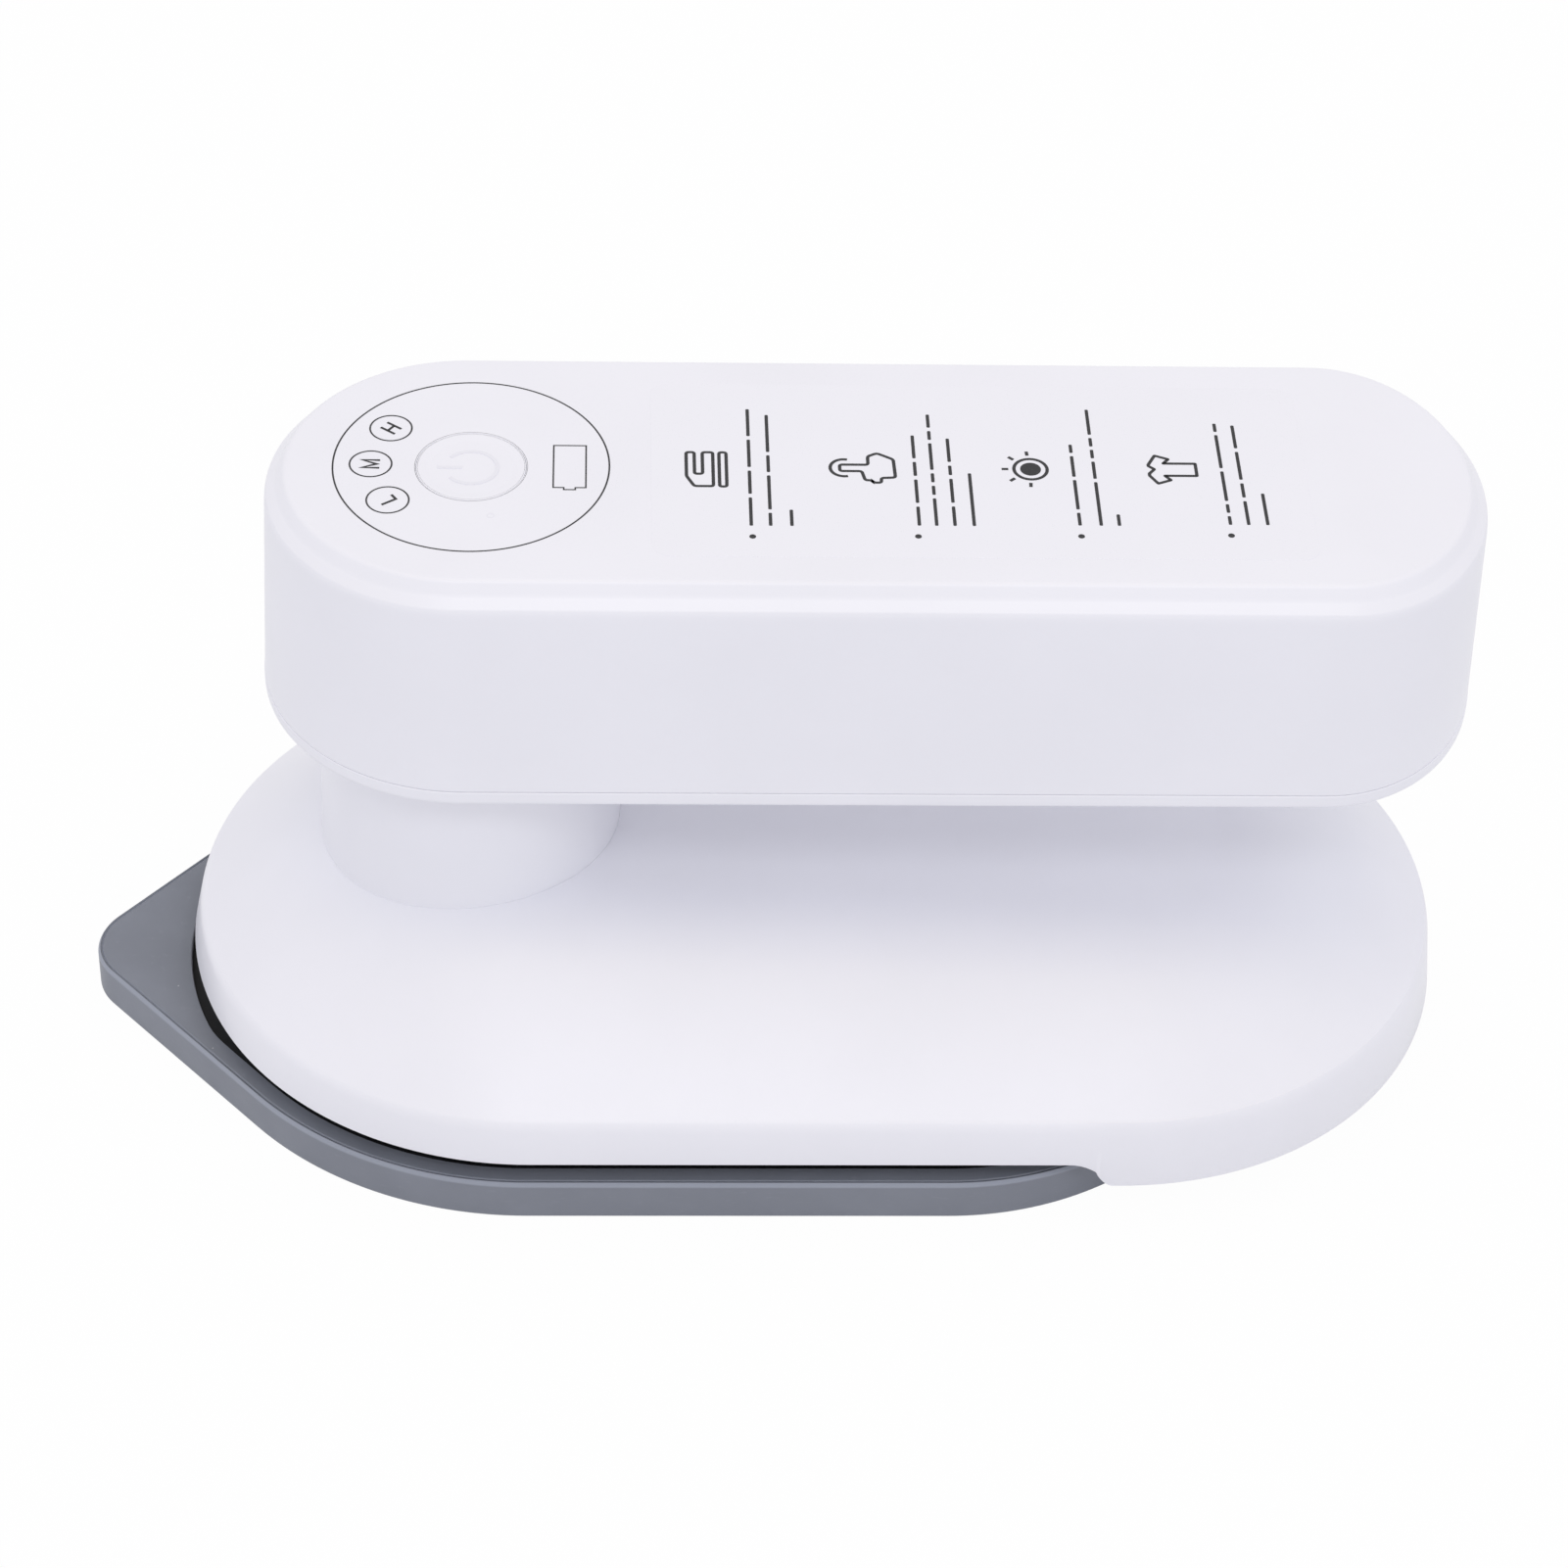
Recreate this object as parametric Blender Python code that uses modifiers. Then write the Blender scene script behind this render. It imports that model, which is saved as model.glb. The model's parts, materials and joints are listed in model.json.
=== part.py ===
"""A cordless handheld iron with a swivelling handle, resting in its silicone heat pad.

Metres, +Z up. The nose points to -X and the heel to +X. The origin is the point on the
table under the swivel axis: the underside of the heat pad is at Z = 0.
"""
import math

import bmesh
import bpy
from mathutils import Vector

# Fits
fit_gap = 0.0003
overrun = 0.002
round_steps = 16
small_steps = 10
hole_steps = 16
cell_steps = 24
crown_rows = 7
route_steps = 5
corner_steps = 4
wire_steps = 2
edge_round = 0.0004
merge_distance = 0.00001
sharp_angle = math.radians(35)

# Plan of the base, which the pad, soleplate and frame follow
base_half_width = 0.0376
base_rear_reach = 0.1089

# Silicone heat pad
pad_margin = 0.0001
pad_nose_radius = 0.0070
pad_nose_overhang = 0.0123
pad_flank_room = 0.0057
pad_shoulder_radius = 0.0406
pad_heel_overhang = 0.0202
pad_heel_depth = 0.0360
pad_floor = 0.0012
pad_wall = 0.0014
pad_lip_width = 0.0032
pad_lip_thickness = 0.00105
pad_hood_gap = 0.0033
pad_edge = 0.0005

# Soleplate and the heater stack on it
sole_thickness = 0.0024
heater_thickness = 0.0010
heater_margin = 0.0132
heater_front_centre = 0.0120
heater_rear_room = 0.0040
clamp_thickness = 0.0010
clamp_margin = 0.0020
blanket_thickness = 0.0010
cutout_radius = 0.0070
cutout_height = 0.0052
cutout_x = 0.0300
sensor_spacing = 0.0180
sensor_radius = 0.0018
sensor_height = 0.0036

# Chassis frame between soleplate and shell
frame_margin = 0.0044
frame_heel_margin = 0.0105
frame_wall = 0.0018
frame_plate = 0.0016
frame_flange = 0.0016
frame_flange_recess = 0.0003

# Base shell
shell_wall = 0.0020
skirt_overlap = 0.00065
skirt_height = 0.0050
skirt_flare = 0.0009
rim_round = 0.0010
rim_wall_share = 0.7
rim_top_share = 0.25
crown_rise = 0.0133
crown_flat = 0.0126
crown_fall = 0.0025
heel_clearance = 0.0006
heel_step_inset = 0.0058
heel_step_length = 0.0049
heel_plate_thickness = 0.0026
heel_recess = 0.0003

# Swivel between base and column
column_foot_radius = 0.0168
column_taper = 0.0006
column_wall = 0.0020
column_plate = 0.0024
column_reach = 0.0186
flange_width = 0.0021
flange_thickness = 0.0015
seat_width = 0.0035
spring_washer_thickness = 0.0005
slip_washer_thickness = 0.0008
washer_width = 0.0018
collar_wall = 0.0020
stop_lug_width = 0.0030
stop_lug_reach = 0.0026
swivel_half_range = math.radians(90)

# Handle
handle_draft = 0.0010
handle_wall = 0.0020
handle_roof = 0.0020
cover_plate = 0.0016
cover_round = 0.0006
locating_rim_height = 0.0020
locating_rim_wall = 0.0012
handle_rear_depth = 0.0171
shoulder_drop = 0.0020
shoulder_width = 0.00115
panel_rise = 0.0012
panel_round = 0.0011
panel_step = 0.00045
shoulder_shares = ((0.25, 0.55), (0.65, 0.88))
panel_foot_share = 0.1
panel_shares = ((0.12, 0.55), (0.45, 0.88))

# Batteries and their cradle
cell_diameter = 0.0184
cell_length = 0.0650
cell_side_room = 0.00045
cell_head_room = 0.0005
cell_front_x = 0.0205
cradle_floor = 0.0009
cradle_height = 0.0062
strip_thickness = 0.0003
strip_width = 0.0080
socket_bay = 0.0199

# Boards
board_thickness = 0.0012
part_height = 0.0026
power_board_length = 0.0460
power_board_half_width = 0.0130
control_x = 0.0007
control_tab_half_width = 0.0050
control_tab_length = 0.0150
chip_size = 0.0060
chip_height = 0.0012
coil_radius = 0.0033
coil_height = 0.0020

# Button, lights and the mask round them
button_radius = 0.0059
button_travel = 0.0008
button_flange_width = 0.0011
button_flange = 0.0009
switch_size = 0.0050
switch_height = 0.0011
mask_room = 0.0005
mask_rim = 0.0006
mask_overhang = 0.0007
light_size = 0.0014
light_height = 0.0008
light_hole_radius = 0.0012
level_light_radius = 0.0105
level_light_angles = {"high": math.radians(143), "medium": math.radians(180), "low": math.radians(217)}
status_light_x = 0.0022
status_light_y = -0.0083
status_light_size = 0.0009
status_hole_radius = 0.0009

# Film label in its recess on the panel
film_front_x = 0.0195
film_rear_x = 0.0885
film_half_width = 0.0148
film_thickness = 0.00025
film_corner = 0.0020

# Charging socket and its board
socket_half_width = 0.0045
socket_thickness = 0.0032
socket_length = 0.0073
socket_shell = 0.0004
socket_flush = 0.0003
socket_round_share = 0.33
socket_back_share = 0.25
socket_board_share = 0.33
tongue_width_share = 0.7
tongue_recess_share = 0.17
charge_board_room = 0.0011
charge_board_length = 0.0150
charge_post_height = 0.0035
charge_post_size = 0.0030

# Screws and bosses
screw_radius = 0.0010
screw_head_radius = 0.0019
screw_head_height = 0.0014
screw_hole_radius = screw_radius + fit_gap
boss_wall = 0.0012
boss_radius = screw_hole_radius + boss_wall
column_screw_grip = 0.0080
rear_screw_inset = 0.0106
rear_screw_margin = 0.0002
case_screw_grip = 0.0070
cup_wall = 0.0012
cup_height = 0.0012
shell_screw_front_angle = math.radians(35)
shell_screw_rear_inset = 0.0110
shell_screw_rear_margin = 0.0067
sole_screw_front_angle = math.radians(14)
sole_screw_rear_inset = 0.0122
sole_screw_rear_margin = 0.0192
heel_screw_inset = 0.0164
heel_screw_margin = 0.0236
base_screw_grip = 0.0050
sole_screw_end_gap = 0.0006

# Wires and terminal block
cable_radius = 0.0016
lead_radius = 0.0007
terminal_length = 0.0100
terminal_width = 0.0090
terminal_height = 0.0027
cable_bend_x = 0.0150
cable_bend_rise = 0.0090
cable_sag_share = 0.1
cable_turn_share = 0.4

# Plan sizes of column, base, frame and pad, worked out from the swivel outwards
column_top_radius = column_foot_radius - column_taper
column_bore = column_top_radius - column_wall
column_screw_y = column_bore - screw_head_radius - fit_gap
shaft_hole_radius = column_foot_radius + fit_gap
flange_radius = column_foot_radius + flange_width
base_front_reach = flange_radius + 2 * fit_gap + 2 * boss_radius + frame_wall + frame_margin
base_front_centre = base_half_width - base_front_reach
base_rear_centre = base_rear_reach - base_half_width
pad_heel_reach = base_rear_reach - pad_heel_overhang
crown_run = base_half_width - crown_flat
heel_step_x = base_rear_centre - heel_step_inset
frame_half_width = base_half_width - frame_margin
frame_front_x = base_front_centre - frame_half_width
frame_rear_x = pad_heel_reach - frame_heel_margin
frame_rear_centre = frame_rear_x - frame_half_width
heater_half_width = frame_half_width - heater_margin
heater_rear_centre = frame_rear_x - sole_screw_rear_inset - heater_rear_room - heater_half_width
sensor_x = cutout_x + sensor_spacing
pad_half_width = base_half_width + pad_margin
pad_nose_reach = base_front_reach + pad_nose_overhang
pad_nose_centre = pad_nose_radius - pad_nose_reach
pad_flank_reach = frame_half_width + pad_flank_room - pad_nose_radius
pad_nose_angle = math.asin(pad_flank_reach / (base_front_centre - pad_nose_centre))
pad_mouth_front = frame_front_x - pad_hood_gap

# Heights, worked out from the table upwards
sole_low = pad_floor + fit_gap
sole_top = sole_low + sole_thickness
pad_height = sole_top + fit_gap + pad_lip_thickness
heater_low = sole_top + fit_gap
clamp_low = heater_low + heater_thickness + fit_gap
blanket_low = clamp_low + clamp_thickness + fit_gap
frame_low = sole_top + fit_gap
frame_plate_low = blanket_low + blanket_thickness + fit_gap
frame_top = frame_plate_low + frame_plate
skirt_low = frame_top - skirt_overlap
heel_low = pad_height + heel_clearance
flange_rim_low = skirt_low + frame_flange_recess
rim_z = skirt_low + skirt_height
crown_z = rim_z + crown_rise
washer_edge_turn = math.pi / 2 * (base_front_reach - shaft_hole_radius - washer_width) / crown_run
washer_edge_slope = crown_rise / crown_run * math.pi / 2 * math.cos(washer_edge_turn)
washer_edge_z = rim_z + crown_rise * math.sin(washer_edge_turn)
collar_low = washer_edge_z - shell_wall * math.hypot(1, washer_edge_slope) - fit_gap
slip_washer_low = collar_low - fit_gap - slip_washer_thickness
flange_top = slip_washer_low - fit_gap
flange_low = flange_top - flange_thickness
spring_washer_low = flange_low - fit_gap - spring_washer_thickness
seat_top = spring_washer_low - fit_gap
seat_low = frame_top + fit_gap
column_top = crown_z + column_reach
handle_low = column_top + fit_gap
cover_top = handle_low + cover_plate
shell_low = cover_top + fit_gap
cradle_low = cover_top + fit_gap
cell_z = cradle_low + cradle_floor + fit_gap + cell_diameter / 2
cell_top = cell_z + cell_diameter / 2
power_board_low = cell_top + cell_head_room
power_board_top = power_board_low + board_thickness
roof_z = power_board_top + part_height + fit_gap
panel_z = roof_z + handle_roof
ledge_z = panel_z - panel_rise
shoulder_z = ledge_z - shoulder_drop
button_flange_low = roof_z - fit_gap - button_flange
switch_top = button_flange_low - button_travel - fit_gap
switch_low = switch_top - switch_height
control_board_top = switch_low - fit_gap
control_board_low = control_board_top - board_thickness
charge_board_low = cover_top + charge_post_height + fit_gap
charge_board_top = charge_board_low + board_thickness
socket_low = charge_board_top + fit_gap
cup_top = cover_top + cup_height
rear_boss_low = cup_top + fit_gap
socket_z = socket_low + socket_thickness / 2

# Screw places, measured in from the edges of the frame, shell and handle
sole_circle = frame_half_width - frame_wall - fit_gap - boss_radius
sole_screw_front_x = base_front_centre - sole_circle * math.cos(sole_screw_front_angle)
sole_screw_front_y = sole_circle * math.sin(sole_screw_front_angle)
sole_screw_rear_x = frame_rear_x - sole_screw_rear_inset
sole_screw_rear_y = frame_half_width - sole_screw_rear_margin
shell_screw_front_x = base_front_centre - sole_circle * math.cos(shell_screw_front_angle)
shell_screw_front_y = sole_circle * math.sin(shell_screw_front_angle)
shell_screw_rear_x = frame_rear_centre - shell_screw_rear_inset
shell_screw_rear_y = frame_half_width - shell_screw_rear_margin
heel_screw_x = base_rear_reach - heel_screw_inset
heel_screw_y = base_half_width - heel_screw_margin

# Plan sizes, worked out from what the handle holds
handle_half_width = fit_gap / 2 + cell_diameter + cell_side_room + handle_wall
cell_y = fit_gap / 2 + cell_diameter / 2
cell_rear_x = cell_front_x + cell_length
handle_rear_x = cell_rear_x + fit_gap + strip_thickness + socket_bay + handle_wall
handle_rear_centre = handle_rear_x - handle_rear_depth
cover_spread = handle_draft
rear_screw_x = handle_rear_x - rear_screw_inset
rim_outer_inset = handle_wall - handle_draft + fit_gap
rim_inner_inset = rim_outer_inset + locating_rim_wall
rear_boss_inset = rim_inner_inset + boss_radius + rear_screw_margin
rear_screw_share = (rear_screw_x - handle_rear_centre) / (handle_rear_depth - rear_boss_inset)
rear_screw_y = (handle_half_width - rear_boss_inset) * math.sqrt(1 - rear_screw_share**2)
cup_radius = screw_head_radius + fit_gap + cup_wall
charge_board_half_width = rear_screw_y - cup_radius - charge_board_room
mask_inner_radius = button_radius + button_flange_width + mask_room
mask_radius = level_light_radius + light_hole_radius + mask_rim
control_board_radius = mask_radius - mask_overhang
heel_reach_centre = pad_heel_reach - pad_heel_depth

# Finishes: colour, roughness, metallic
finishes = {
    "white_plastic": ((0.84, 0.84, 0.88), 0.32, 0.0),
    "grey_silicone": ((0.20, 0.22, 0.25), 0.75, 0.0),
    "cast_aluminium": ((0.62, 0.63, 0.65), 0.35, 1.0),
    "black_nylon": ((0.02, 0.02, 0.022), 0.55, 0.0),
    "natural_acetal": ((0.78, 0.77, 0.72), 0.45, 0.0),
    "spring_steel": ((0.55, 0.56, 0.58), 0.3, 1.0),
    "plated_steel": ((0.62, 0.62, 0.64), 0.28, 1.0),
    "mica": ((0.55, 0.47, 0.33), 0.6, 0.0),
    "fibre_blanket": ((0.72, 0.72, 0.70), 0.9, 0.0),
    "green_board": ((0.02, 0.16, 0.07), 0.4, 0.0),
    "cell_wrap": ((0.05, 0.22, 0.50), 0.35, 0.0),
    "nickel": ((0.70, 0.68, 0.64), 0.25, 1.0),
    "clear_film": ((0.86, 0.86, 0.90), 0.2, 0.0),
    "lamp_epoxy": ((0.90, 0.86, 0.55), 0.3, 0.0),
    "black_epoxy": ((0.03, 0.03, 0.03), 0.4, 0.0),
    "wire_sleeve": ((0.75, 0.74, 0.70), 0.5, 0.0),
    "red_wire": ((0.55, 0.03, 0.02), 0.45, 0.0),
    "black_wire": ((0.02, 0.02, 0.02), 0.45, 0.0),
}


def clear_scene():
    """Start from an empty scene with one collection for the parts and one for the cutters."""
    for thing in list(bpy.data.objects):
        bpy.data.objects.remove(thing, do_unlink=True)
    groups = {}
    for name in ("handheld_iron", "cutters"):
        groups[name] = bpy.data.collections.new(name)
        bpy.context.scene.collection.children.link(groups[name])
    return groups


collections = clear_scene()


def finish_material(piece_name, finish):
    """Give a piece its own Principled material in one of the finishes."""
    colour, roughness, metallic = finishes[finish]
    material = bpy.data.materials.new(piece_name + "_" + finish)
    material.use_nodes = True
    shader = material.node_tree.nodes["Principled BSDF"]
    shader.inputs["Base Color"].default_value = (*colour, 1.0)
    shader.inputs["Roughness"].default_value = roughness
    shader.inputs["Metallic"].default_value = metallic
    material.diffuse_color = (*colour, 1.0)
    return material


def add_piece(name, mesh, finish, parent):
    """Link a mesh as a finished piece, or as a hidden cutter when it has no finish."""
    piece = bpy.data.objects.new(name, mesh)
    if finish is None:
        collections["cutters"].objects.link(piece)
        piece.hide_render = True
        piece.display_type = "WIRE"
        return piece
    collections["handheld_iron"].objects.link(piece)
    mesh.materials.append(finish_material(name, finish))
    if parent is not None:
        piece.parent = parent
        piece.location = -parent.location
    return piece


def mesh_from_bmesh(name, bm):
    """Write a bmesh into a new mesh with smooth faces and sharp corners."""
    mesh = bpy.data.meshes.new(name)
    bm.to_mesh(mesh)
    bm.free()
    mesh.shade_smooth()
    mesh.set_sharp_from_angle(angle=sharp_angle)
    return mesh


def loft(name, rings, finish=None, parent=None):
    """Skin a row of rings that have the same number of points, and cap the first and last."""
    bm = bmesh.new()
    rows = [[bm.verts.new(point) for point in ring] for ring in rings]
    count = len(rows[0])
    for lower, upper in zip(rows, rows[1:]):
        for i in range(count):
            j = (i + 1) % count
            bm.faces.new((lower[i], lower[j], upper[j], upper[i]))
    bm.faces.new(list(reversed(rows[0])))
    bm.faces.new(rows[-1])
    return add_piece(name, mesh_from_bmesh(name, bm), finish, parent)


def level(outline, z):
    """Lift a plan outline to a height."""
    return [(x, y, z) for x, y in outline]


def plate(name, outline, low, high, edge, finish=None, parent=None):
    """A flat piece with small rounded-off edges; outline(inset) gives its plan."""
    rings = [
        level(outline(edge), low),
        level(outline(0), low + edge),
        level(outline(0), high - edge),
        level(outline(edge), high),
    ]
    if edge == 0:
        rings = [level(outline(0), low), level(outline(0), high)]
    return loft(name, rings, finish, parent)


def turned(name, profile, finish=None, parent=None, centre=(0, 0), steps=round_steps * 2):
    """Turn a profile of (radius, height) points, running down its outer side, about Z."""
    bm = bmesh.new()
    points = [bm.verts.new((radius, 0, height)) for radius, height in profile]
    for a, b in zip(points, points[1:]):
        bm.edges.new((a, b))
    if profile[0][0] > 0:
        bm.edges.new((points[-1], points[0]))
    piece = add_piece(name, mesh_from_bmesh(name, bm), finish, parent)
    piece.location = Vector((centre[0], centre[1], 0)) + piece.location
    screw = piece.modifiers.new("turn", "SCREW")
    screw.axis = "Z"
    screw.steps = steps
    screw.render_steps = steps
    screw.use_merge_vertices = True
    screw.merge_threshold = merge_distance
    screw.use_smooth_shade = True
    return piece


def cylinder(name, centre, radius, low, high, steps=hole_steps, finish=None, parent=None):
    """A plain round bar standing on end, used for holes, bosses and small round pieces."""
    bm = bmesh.new()
    bmesh.ops.create_cone(
        bm, cap_ends=True, segments=steps, radius1=radius, radius2=radius, depth=high - low
    )
    bmesh.ops.translate(bm, verts=bm.verts, vec=(centre[0], centre[1], (low + high) / 2))
    return add_piece(name, mesh_from_bmesh(name, bm), finish, parent)


def block(name, low, high, finish=None, parent=None, edge=0.0):
    """A box from its lowest to its highest corner, with edges bevelled where asked."""
    bm = bmesh.new()
    bmesh.ops.create_cube(bm, size=1)
    size = [b - a for a, b in zip(low, high)]
    middle = [(a + b) / 2 for a, b in zip(low, high)]
    bmesh.ops.scale(bm, verts=bm.verts, vec=size)
    bmesh.ops.translate(bm, verts=bm.verts, vec=middle)
    piece = add_piece(name, mesh_from_bmesh(name, bm), finish, parent)
    if edge > 0:
        bevel = piece.modifiers.new("edges", "BEVEL")
        bevel.width = edge
        bevel.segments = 1
        bevel.limit_method = "ANGLE"
    return piece


def wire(name, route, radius, finish, parent=None):
    """A round lead along a smooth route through hand-picked points, with filled ends."""
    curve = bpy.data.curves.new(name, "CURVE")
    curve.dimensions = "3D"
    curve.bevel_depth = radius
    curve.bevel_resolution = wire_steps
    curve.use_fill_caps = True
    spline = curve.splines.new("POLY")
    spline.points.add(len(route) - 1)
    for point, place in zip(spline.points, route):
        point.co = (*place, 1)
    curve.materials.append(finish_material(name, finish))
    piece = bpy.data.objects.new(name, curve)
    collections["handheld_iron"].objects.link(piece)
    if parent is not None:
        piece.parent = parent
        piece.location = -parent.location
    return piece


def smooth_route(points):
    """Points along a Catmull-Rom curve through the given ones."""
    ends = [2 * Vector(points[0]) - Vector(points[1]), 2 * Vector(points[-1]) - Vector(points[-2])]
    path = [ends[0], *[Vector(p) for p in points], ends[1]]
    route = []
    for a, b, c, d in zip(path, path[1:], path[2:], path[3:]):
        for i in range(route_steps):
            t = i / route_steps
            route.append(
                (
                    2 * b
                    + (c - a) * t
                    + (2 * a - 5 * b + 4 * c - d) * t**2
                    + (3 * b - a - 3 * c + d) * t**3
                )
                / 2
            )
    return [*route, path[-2]]


def boolean(piece, tool, operation):
    """Cut a piece with a tool, or join the tool to it."""
    step = piece.modifiers.new(tool.name, "BOOLEAN")
    step.operation = operation
    step.solver = "EXACT"
    step.object = tool
    return piece


def cut(piece, *tools):
    """Cut each tool out of a piece."""
    for tool in tools:
        boolean(piece, tool, "DIFFERENCE")


def join(piece, *tools):
    """Join each tool to a piece."""
    for tool in tools:
        boolean(piece, tool, "UNION")


def arc(centre, radius_x, radius_y, start, end, steps):
    """Points along an ellipse's arc, both ends included."""
    turns = [start + (end - start) * i / steps for i in range(steps + 1)]
    return [(centre[0] + radius_x * math.cos(t), centre[1] + radius_y * math.sin(t)) for t in turns]


def stadium(front_centre, rear_centre, half_width, inset=0.0, between=()):
    """A round-ended outline, with extra points on its straight sides at the given X."""
    radius = half_width - inset
    rear = arc((rear_centre, 0), radius, radius, -math.pi / 2, math.pi / 2, round_steps)
    front = arc((front_centre, 0), radius, radius, math.pi / 2, 3 * math.pi / 2, round_steps)
    back = [(x, radius) for x in reversed(between)]
    near = [(x, -radius) for x in between]
    return rear + back + front + near


def handle_outline(inset=0.0):
    """The handle's plan: a half circle about the swivel axis and a flatter rear end."""
    half = handle_half_width - inset
    depth = handle_rear_depth - inset
    rear = arc((handle_rear_centre, 0), depth, half, -math.pi / 2, math.pi / 2, round_steps)
    front = arc((0, 0), half, half, math.pi / 2, 3 * math.pi / 2, round_steps)
    return rear + front


def iron_outline(inset=0.0):
    """The soleplate's plan: rounded nose, straight flanks, shoulders and an oval heel."""
    half = pad_half_width - inset
    nose = pad_nose_radius - inset
    shoulder = pad_shoulder_radius - inset
    lean = math.pi / 2 + pad_nose_angle
    reach = nose - shoulder - math.cos(pad_nose_angle) * (half - shoulder)
    shoulder_x = pad_nose_centre - reach / math.sin(pad_nose_angle)
    heel = arc((heel_reach_centre, 0), pad_heel_depth - inset, half, 0, math.pi / 2, round_steps // 2)
    side = arc((shoulder_x, half - shoulder), shoulder, shoulder, math.pi / 2, lean, small_steps // 2)
    tip = arc((pad_nose_centre, 0), nose, nose, lean, math.pi, small_steps // 2)
    upper = heel + side + tip
    lower = [(x, -y) for x, y in reversed(upper[1:-1])]
    return upper + lower


def clipped(outline, x_limit):
    """The part of a convex outline behind a straight edge across it."""
    kept = []
    for (x0, y0), (x1, y1) in zip(outline, outline[1:] + outline[:1]):
        if x0 >= x_limit:
            kept.append((x0, y0))
        if (x0 - x_limit) * (x1 - x_limit) < 0:
            share = (x_limit - x0) / (x1 - x0)
            kept.append((x_limit, y0 + (y1 - y0) * share))
    return kept


def mirrored(name):
    """The two sides of the object, with the name each gives its pieces."""
    return ((name + "_left", 1), (name + "_right", -1))


def screw(name, spot, head_z, tip_z, parent):
    """A pan-head screw; the head's outer face is at head_z and its point at tip_z."""
    way = 1 if head_z > tip_z else -1
    seat = head_z - way * screw_head_height
    profile = [
        (0, head_z),
        (screw_head_radius - edge_round, head_z),
        (screw_head_radius, head_z - way * edge_round),
        (screw_head_radius, seat),
        (screw_radius, seat),
        (screw_radius, tip_z + way * edge_round),
        (screw_radius - edge_round, tip_z),
        (0, tip_z),
    ]
    if way < 0:
        profile.reverse()
    return turned(name, profile, "plated_steel", parent, centre=spot, steps=small_steps)


def heat_pad(parent):
    """Silicone tray: floor, wall, inward lip all round and a hood over the nose."""
    pad = loft(
        "heat_pad",
        [
            level(iron_outline(pad_edge), 0),
            level(iron_outline(0), pad_edge),
            level(iron_outline(0), pad_height - pad_edge),
            level(iron_outline(pad_edge), pad_height),
        ],
        "grey_silicone",
        parent,
    )
    hollow = iron_outline(pad_wall)
    mouth = clipped(iron_outline(pad_lip_width), pad_mouth_front)
    hollow_top = sole_top + fit_gap
    cut(
        pad,
        loft("pad_hollow", [level(hollow, pad_floor), level(hollow, hollow_top)]),
        loft("pad_mouth", [level(mouth, sole_top), level(mouth, pad_height + overrun)]),
    )
    return pad


def sole_outline(inset=0.0):
    """The soleplate fits inside the pad's wall."""
    return iron_outline(pad_wall + fit_gap + inset)


def sole_spots():
    """Where the frame is screwed to the soleplate."""
    return [
        (name + end, x, side * y)
        for end, x, y in (
            ("front", sole_screw_front_x, sole_screw_front_y),
            ("rear", sole_screw_rear_x, sole_screw_rear_y),
        )
        for name, side in (("left_", 1), ("right_", -1))
    ]


def shell_spots():
    """Where the frame is screwed up into the base shell."""
    return [
        (name + end, x, side * y)
        for end, x, y in (
            ("front", shell_screw_front_x, shell_screw_front_y),
            ("rear", shell_screw_rear_x, shell_screw_rear_y),
        )
        for name, side in (("left_", 1), ("right_", -1))
    ]


def soleplate(parent):
    """Aluminium plate with four screw bosses on its upper side."""
    plate_piece = plate("soleplate", sole_outline, sole_low, sole_top, edge_round, "cast_aluminium", parent)
    boss_top = frame_plate_low - fit_gap
    for name, x, y in sole_spots():
        boss = cylinder("sole_boss_" + name, (x, y), boss_radius, sole_top - sole_thickness / 2, boss_top)
        pilot = cylinder(
            "sole_pilot_" + name,
            (x, y),
            screw_hole_radius,
            sole_low + sole_thickness / 2,
            boss_top + overrun,
        )
        join(plate_piece, boss)
        cut(plate_piece, pilot)
    return plate_piece


def heater_outline(inset=0.0):
    """The heater's plan."""
    return stadium(heater_front_centre, heater_rear_centre, heater_half_width, inset)


def heater_stack(parent):
    """Mica heater on the soleplate, its clamp plate and the insulating blanket above."""
    plate("heating_element", heater_outline, heater_low, heater_low + heater_thickness, 0, "mica", parent)
    plate(
        "heater_clamp_plate",
        lambda inset: heater_outline(inset + clamp_margin),
        clamp_low,
        clamp_low + clamp_thickness,
        0,
        "cast_aluminium",
        parent,
    )
    blanket = plate(
        "insulation_blanket",
        heater_outline,
        blanket_low,
        blanket_low + blanket_thickness,
        0,
        "fibre_blanket",
        parent,
    )
    cut(
        blanket,
        cylinder(
            "blanket_cutout_hole", (cutout_x, 0), cutout_radius + fit_gap, clamp_low, frame_top
        ),
        cylinder("blanket_sensor_hole", (sensor_x, 0), sensor_radius + fit_gap, clamp_low, frame_top),
    )
    cylinder(
        "thermal_cutout",
        (cutout_x, 0),
        cutout_radius,
        blanket_low,
        blanket_low + cutout_height,
        round_steps,
        "plated_steel",
        parent,
    )
    cylinder(
        "temperature_sensor",
        (sensor_x, 0),
        sensor_radius,
        blanket_low,
        blanket_low + sensor_height,
        small_steps,
        "black_epoxy",
        parent,
    )


def frame_outline(inset=0.0):
    """The chassis frame's plan."""
    return stadium(base_front_centre, frame_rear_centre, frame_half_width, inset)


def skirt_fill(inset=0.0):
    """The plan that fills the shell's skirt, clear of its inner wall."""
    half = base_half_width + skirt_flare / 2 - shell_wall - fit_gap
    return stadium(base_front_centre, base_rear_centre, half, inset)


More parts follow.
